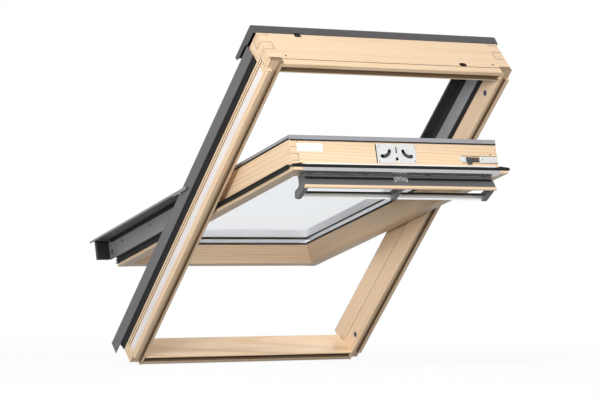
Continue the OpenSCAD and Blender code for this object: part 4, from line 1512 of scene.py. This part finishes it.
@dataclass
class Glazing(Assembly):
    """Panes, spacer and glazing seals; the sealant is in millimetres."""

    panes: Tuple[Trim, ...] = (
        Trim("inner_pane", GLASS, "clear_glass", Rounding.CUT),
        Trim("outer_pane", GLASS, "clear_glass", Rounding.CUT),
        Trim("glass_spacer", SPACER, "spacer_metal"),
        Trim("inner_glazing_seal", RUBBER, "black_rubber", Rounding.CUT),
        Trim("outer_glazing_seal", RUBBER, "black_rubber", Rounding.CUT),
    )
    half: float = 281.0
    low: float = 98.5
    high: float = 1028.5
    proud: float = 0.4
    lap: float = 0.1
    inner_line: Point = (95.1, 97.0)
    outer_line: Point = (107.5, 110.9)

    def sealant(self, near: float, far: float) -> Shape:
        """A thin black line around the inner edge of the spacer.

        Args:
            near: Where the line begins in depth, in millimetres.
            far: Where it ends.

        Returns:
            The bmesh of the four sides.
        """
        bar = ((self.half - self.proud, near, self.low), (self.half + self.lap, far, self.high))
        sides = [side_slab(sign, bar, SASH, self.lap) for _, sign in SIDES]
        levels = ((self.low - self.lap, self.low + self.proud),
                  (self.high - self.proud, self.high + self.lap))
        ends = [slab(((-self.half, near, bottom), (self.half, far, top)), SASH, self.lap)
                for bottom, top in levels]
        return joined(sides + ends)

    def build(self) -> None:
        """Builds the black lines at the spacer's edges, the panes, the spacer and its seals."""
        edges = [self.sealant(*self.inner_line), self.sealant(*self.outer_line)]
        self.add("spacer_edges", edges, RUBBER, Body.SASH, "black_rubber")
        self.dress(Body.SASH, self.panes)


@dataclass
class VentFlap(Assembly):
    """Ventilation profile, flap, control bar and its ends; boxes are in millimetres."""

    vent_parts: Tuple[Trim, ...] = (
        Trim("vent_profile", VENT_METAL, "silver_profile"),
        Trim("vent_filter", RUBBER, "black_rubber"),
        Trim("vent_cover", WHITE_PLASTIC, "white_plastic", Rounding.MOULDED),
        Trim("flap_hinges", FLAP_PAINT, "zinc_steel", Rounding.PLATE),
    )
    flap_parts: Tuple[Trim, ...] = (
        Trim("flap_plate", FLAP_PAINT, "flap_grey", Rounding.MOULDED),
        Trim("flap_seal", RUBBER, "black_rubber", Rounding.CUT),
        Trim("control_bar", SILVER, "silver_profile", Rounding.CUT),
        Trim("bar_end_left", GREY_PLASTIC, "grey_plastic", Rounding.HANDLE, 3),
        Trim("bar_end_right", GREY_PLASTIC, "grey_plastic", Rounding.HANDLE, 3),
        Trim("bar_bracket", GREY_PLASTIC, "grey_plastic", Rounding.HANDLE, 3),
    )
    bar_lip: Box = ((7.2, -37.3, -42.5), (292.8, -32.0, -38.5))
    bar_lip_round: float = 0.6
    lug_places: Point = (-281.0, -102.3, 102.3, 281.0)
    lug_room: float = 5.0
    lip_half: float = 300.0
    lip_depths: Point = (37.0, 37.5)
    lip_levels: Point = (1083.0, 1092.4)
    link_plate: Box = ((-20.0, 4.1, 5.5), (24.0, 4.4, 14.5))
    link_foot: Box = ((-20.0, 2.4, 14.2), (24.0, 4.4, 17.5))
    foot_round: float = 0.3
    link_leg: Box = ((0.0, 4.1, 0.0), (5.5, 4.4, 6.0))
    tongue: Box = ((0.0, 35.65, 1104.5), (5.5, 36.1, 1119.0))
    leg_places: Point = (-9.7, 1.6)
    rivet: Box = ((0.0, 2.4, 17.5), (4.0, 3.4, 21.0))
    rivet_round: float = 0.4
    rivet_places: Point = (-18.0, 18.0)
    link_hole: Box = ((-1.8, 4.3, 9.0), (1.8, 4.44, 12.5))
    hole_round: float = 0.04
    hole_places: Point = (-13.0, 2.0, 17.0)
    thin_round: float = 0.1

    def lips(self) -> None:
        """Builds the dark lip of the bar and the silver lip of the profile, broken at the hinge lugs."""
        dark = [side_slab(sign, self.bar_lip, HANDLE, self.bar_lip_round) for _, sign in SIDES]
        self.add("bar_lip", dark, BLACK_PLASTIC, Body.FLAP, "black_plastic")
        stops = (-self.lip_half, *self.lug_places, self.lip_half)
        near, far = self.lip_depths
        low, high = self.lip_levels
        room = self.lug_room
        bright = [slab(((left + room, near, low), (right - room, far, high)), SASH, self.thin_round)
                  for left, right in zip(stops, stops[1:])]
        self.add("vent_lip", bright, SILVER, Body.SASH, "silver_profile")

    def row(self, box: Box, places: Point, place: Matrix, radius: float) -> List[Shape]:
        """Rounded boxes side by side."""
        return [slab(shifted(box, x=across), place, radius) for across in places]

    def pull_link(self) -> None:
        """Builds the bright link plate on the flap and its two tongues on the ventilation profile."""
        link = [slab(self.link_plate, FLAP_SHUT, self.thin_round),
                slab(self.link_foot, FLAP_SHUT, self.foot_round),
                *self.row(self.link_leg, self.leg_places, FLAP_SHUT, self.thin_round),
                *self.row(self.rivet, self.rivet_places, FLAP_SHUT, self.rivet_round)]
        self.add("pull_link", link, LINK_METAL, Body.FLAP, "zinc_steel")
        # Black marks where the link plate's holes are: painted shade in the holes.
        holes = self.row(self.link_hole, self.hole_places, FLAP_SHUT, self.hole_round)
        self.add("link_holes", holes, BLACK_PLASTIC, Body.FLAP, "black_plastic")
        tongues = self.row(self.tongue, self.leg_places, SASH, self.thin_round)
        self.add("pull_tongues", tongues, LINK_METAL, Body.SASH, "zinc_steel")

    def build(self) -> None:
        """Builds the ventilation pieces on the sash and the flap."""
        self.dress(Body.SASH, self.vent_parts)
        self.dress(Body.FLAP, self.flap_parts)
        self.lips()
        self.pull_link()


@dataclass
class LockAndBolt(Assembly):
    """Lock plate, hooks, screws and the barrel bolt; boxes and marks are in millimetres."""

    plates: Tuple[Trim, ...] = (
        Trim("lock_case", ZINC, "zinc_steel", Rounding.PLATE),
        Trim("lock_screws", ZINC, "zinc_steel", Rounding.PLATE),
        Trim("bolt_keeper", ZINC, "zinc_steel", Rounding.CUT),
    )
    hooks: Trim = Trim("lock_hooks", DARK_STEEL, "zinc_steel", Rounding.CUT)
    bolt: Trim = Trim("barrel_bolt", BOLT_STEEL, "bolt_steel")
    thumb: Box = ((229.5, 68.5, 1094.2), (243.5, 89.0, 1097.2))
    thumb_round: float = 0.8
    grip: Box = ((232.0, 78.0, 1096.8), (241.0, 87.0, 1098.0))
    grip_round: float = 0.4
    end_plate: Box = ((206.0, 75.5, 1092.5), (227.0, 91.5, 1093.7))
    end_limit: float = 210.0 * MM
    end_round: float = 7.9 * MM
    end_steps: int = 8
    dimple: Point = (281.0, 83.5, 1093.9)
    dimple_r: float = 1.6
    pilot: Point = (310.0, 98.4, 1092.4)
    pilot_r: float = 2.2
    mark_t: float = 0.2
    screw_x: Point = (-58.0, 58.0)
    screw_y: Point = (74.5, 116.5)
    cross: Tuple[Box, Box] = (((-2.2, -0.4, 1095.0), (2.2, 0.4, 1095.2)),
                              ((-0.4, -2.2, 1095.0), (0.4, 2.2, 1095.2)))
    case_edge_shadow: Box = ((-65.8, 68.5, 1092.4), (-63.0, 122.5, 1092.8))
    bolt_slot_shadow: Box = ((214.0, 0.0, 1092.4), (332.5, 1.6, 1092.8))
    shadow_depths: Point = (73.0, 92.4)
    shadow_round: float = 0.1

    def bolt_dress(self) -> None:
        """Builds the thumb piece of the bolt and the plate at the blind end of its slot."""
        thumb = [slab(self.thumb, SASH, self.thumb_round), slab(self.grip, SASH, self.grip_round)]
        self.add("bolt_thumb", thumb, DARK_STEEL, Body.BOLT, "bolt_steel")
        plate = block(self.end_plate, SASH)
        inverse = SASH.inverted()
        ends = [edge for edge in upright_edges(plate, SASH)
                if all((inverse @ vert.co).x < self.end_limit for vert in edge.verts)]
        round_edges(plate, ends, self.end_round, self.end_steps)
        self.shop.place("bolt_end_plate", plate, ZINC, Body.SASH, "zinc_steel")

    def recesses(self) -> None:
        """Builds painted shade: the dark marks in the recesses of the fittings and the dark lines of shadow
        along their edges.
        """
        # Dark discs and crosses in the dimple, the pilot hole and the screw recesses: painted shade.
        marks = [disc(self.dimple, self.dimple_r, self.mark_t, SASH),
                 disc(self.pilot, self.pilot_r, self.mark_t, SASH)]
        for across in self.screw_x:
            for depth in self.screw_y:
                marks.extend(block(shifted(bar, across, depth), SASH) for bar in self.cross)
        self.add("dark_recesses", marks, BLACK_PLASTIC, Body.SASH, "black_plastic")
        # Dark lines beside the lock case and along the bolt slot: painted shadow at their edges.
        shadow_boxes = [self.case_edge_shadow, *(shifted(self.bolt_slot_shadow, y=depth) for depth in self.shadow_depths)]
        lines = [slab(bed, SASH, self.shadow_round) for bed in shadow_boxes]
        self.add("plate_edge_shadows", lines, BLACK_PLASTIC, Body.SASH, "black_plastic")

    def build(self) -> None:
        """Builds the fittings on the sash head."""
        self.dress(Body.SASH, self.plates)
        self.hooks.build(self.shop, Body.HOOKS)
        self.bolt.build(self.shop, Body.BOLT)
        self.bolt_dress()
        self.recesses()


@dataclass
class BlankPlate(Assembly):
    """A bare white plate on the sash head, in millimetres."""

    box: Box = ((-312.0, 97.0, 1092.5), (-232.0, 120.0, 1092.9))
    corner: float = 2.0
    corner_steps: int = 4

    def build(self) -> None:
        """Builds the plate with round corners."""
        bm = block(self.box, SASH)
        round_edges(bm, upright_edges(bm, SASH), self.corner * MM, self.corner_steps)
        self.shop.place("blank_plate", bm, PAPER, Body.SASH, "white_plastic")


@dataclass(frozen=True)
class Lamp:
    """A soft square lamp: where it stands, its side in metres and its power in watts."""

    name: str
    place: Point
    size: float
    power: float

    def build(self, target: Vector) -> None:
        """Adds the lamp, aimed at a point.

        Args:
            target: The point.
        """
        data = bpy.data.lights.new(self.name, "AREA")
        data.shape = "SQUARE"
        data.size = self.size
        data.energy = self.power
        lamp = stand(self.name, data)
        lamp.location = self.place
        lamp.rotation_euler = (target - Vector(self.place)).to_track_quat("-Z", "Y").to_euler()


@dataclass
class Studio:
    """Floor, light and camera."""

    lens: float = 153.72
    sensor: float = 36.0
    sight: float = 100.0
    camera_place: Point = (-3.7507, -6.7513, 0.3169)
    camera_turn: Point = (91.11, 0.0, -30.3)
    target: Point = (0.0, -0.35, 0.42)
    lamps: Tuple[Lamp, ...] = (
        Lamp("key_lamp", (-3.0, -3.7, 4.4), 1.5, 150.0),
        Lamp("front_lamp", (-1.2, -5.8, 1.0), 2.4, 112.0),
        Lamp("left_lamp", (-4.6, -3.0, 1.2), 1.0, 150.0),
        Lamp("rear_lamp", (3.8, 2.6, 2.4), 2.4, 110.0),
    )
    ambient: float = 0.28
    bounce: float = 0.14
    floor_half: float = 9.0
    floor_tone: float = 0.95
    floor_glow: float = 0.9
    fade_from: float = 0.9
    fade_to: float = 2.4

    def camera(self) -> None:
        """Places the camera at the photo's view."""
        data = bpy.data.cameras.new("view_camera")
        data.lens = self.lens
        data.sensor_width = self.sensor
        data.sensor_fit = "HORIZONTAL"
        data.clip_end = self.sight
        seat = stand("view_camera", data)
        seat.location = self.camera_place
        seat.rotation_euler = [math.radians(turn) for turn in self.camera_turn]
        bpy.context.scene.camera = seat

    def sky(self) -> None:
        """Gives the world a plain level of light and a white look to the camera, mirrors and glass."""
        world = bpy.data.worlds.new("studio_sky")
        world.use_nodes = True
        wiring = Wiring(world.node_tree)
        soft, white = (wiring.node("ShaderNodeBackground") for _ in range(2))
        wiring.put(soft, {"Color": (*WHITE, 1.0), "Strength": self.ambient})
        wiring.put(white, {"Color": (*WHITE, 1.0), "Strength": 1.0})
        out = wiring.node("ShaderNodeOutputWorld")
        wiring.link(wiring.either(wiring.seen_directly(), soft, white), out.inputs["Surface"])
        bpy.context.scene.world = world

    def floor_look(self) -> Material:
        """Wires a pale floor that fades to white away from the window.

        Returns:
            The material.
        """
        material = bpy.data.materials.new("pale_floor")
        material.use_nodes = True
        wiring = Wiring(material.node_tree)
        seen = wiring.seen_directly()
        matt = wiring.node("ShaderNodeBsdfDiffuse")
        wiring.link(wiring.span(seen, self.bounce, self.floor_tone), matt.inputs["Color"])
        white = wiring.put(wiring.node("ShaderNodeEmission"), {"Strength": 1.0})
        away = wiring.node("ShaderNodeVectorMath", operation="LENGTH")
        wiring.link(wiring.node("ShaderNodeTexCoord").outputs["Object"], away.inputs[0])
        fade = wiring.span(away.outputs["Value"], self.floor_glow, 1.0, self.fade_from, self.fade_to)
        share = wiring.maths("MULTIPLY", seen, fade)
        out = wiring.node("ShaderNodeOutputMaterial")
        wiring.link(wiring.either(share, matt, white), out.inputs["Surface"])
        return material

    def floor(self) -> None:
        """Lays the floor under the lowest point of the window."""
        bm = bmesh.new()
        bmesh.ops.create_grid(bm, x_segments=1, y_segments=1, size=self.floor_half)
        bmesh.ops.translate(bm, vec=Vector((0.0, 0.0, CAD_BOX[0][2])), verts=bm.verts[:])
        mesh = bpy.data.meshes.new("studio_floor")
        bm.to_mesh(mesh)
        bm.free()
        ground = stand("studio_floor", mesh)
        mesh.materials.append(self.floor_look())

    def build(self) -> None:
        """Sets up the studio."""
        self.camera()
        self.sky()
        self.floor()
        for lamp in self.lamps:
            lamp.build(Vector(self.target))
        bpy.context.scene.view_settings.view_transform = "Standard"
        LOG.info("studio ready")


def main() -> None:
    """Builds the window and its studio."""
    logging.basicConfig(level=logging.INFO, format="%(name)s: %(message)s")
    shop = Shop()
    Studio().build()
    for part in (FrameTimber, FrameCovers, SashTimber, JointSeams, SashCovers, Glazing, VentFlap, LockAndBolt,
                 BlankPlate):
        part(shop).build()
        LOG.info("%s done", part.__name__)


if __name__ == "__main__":
    main()
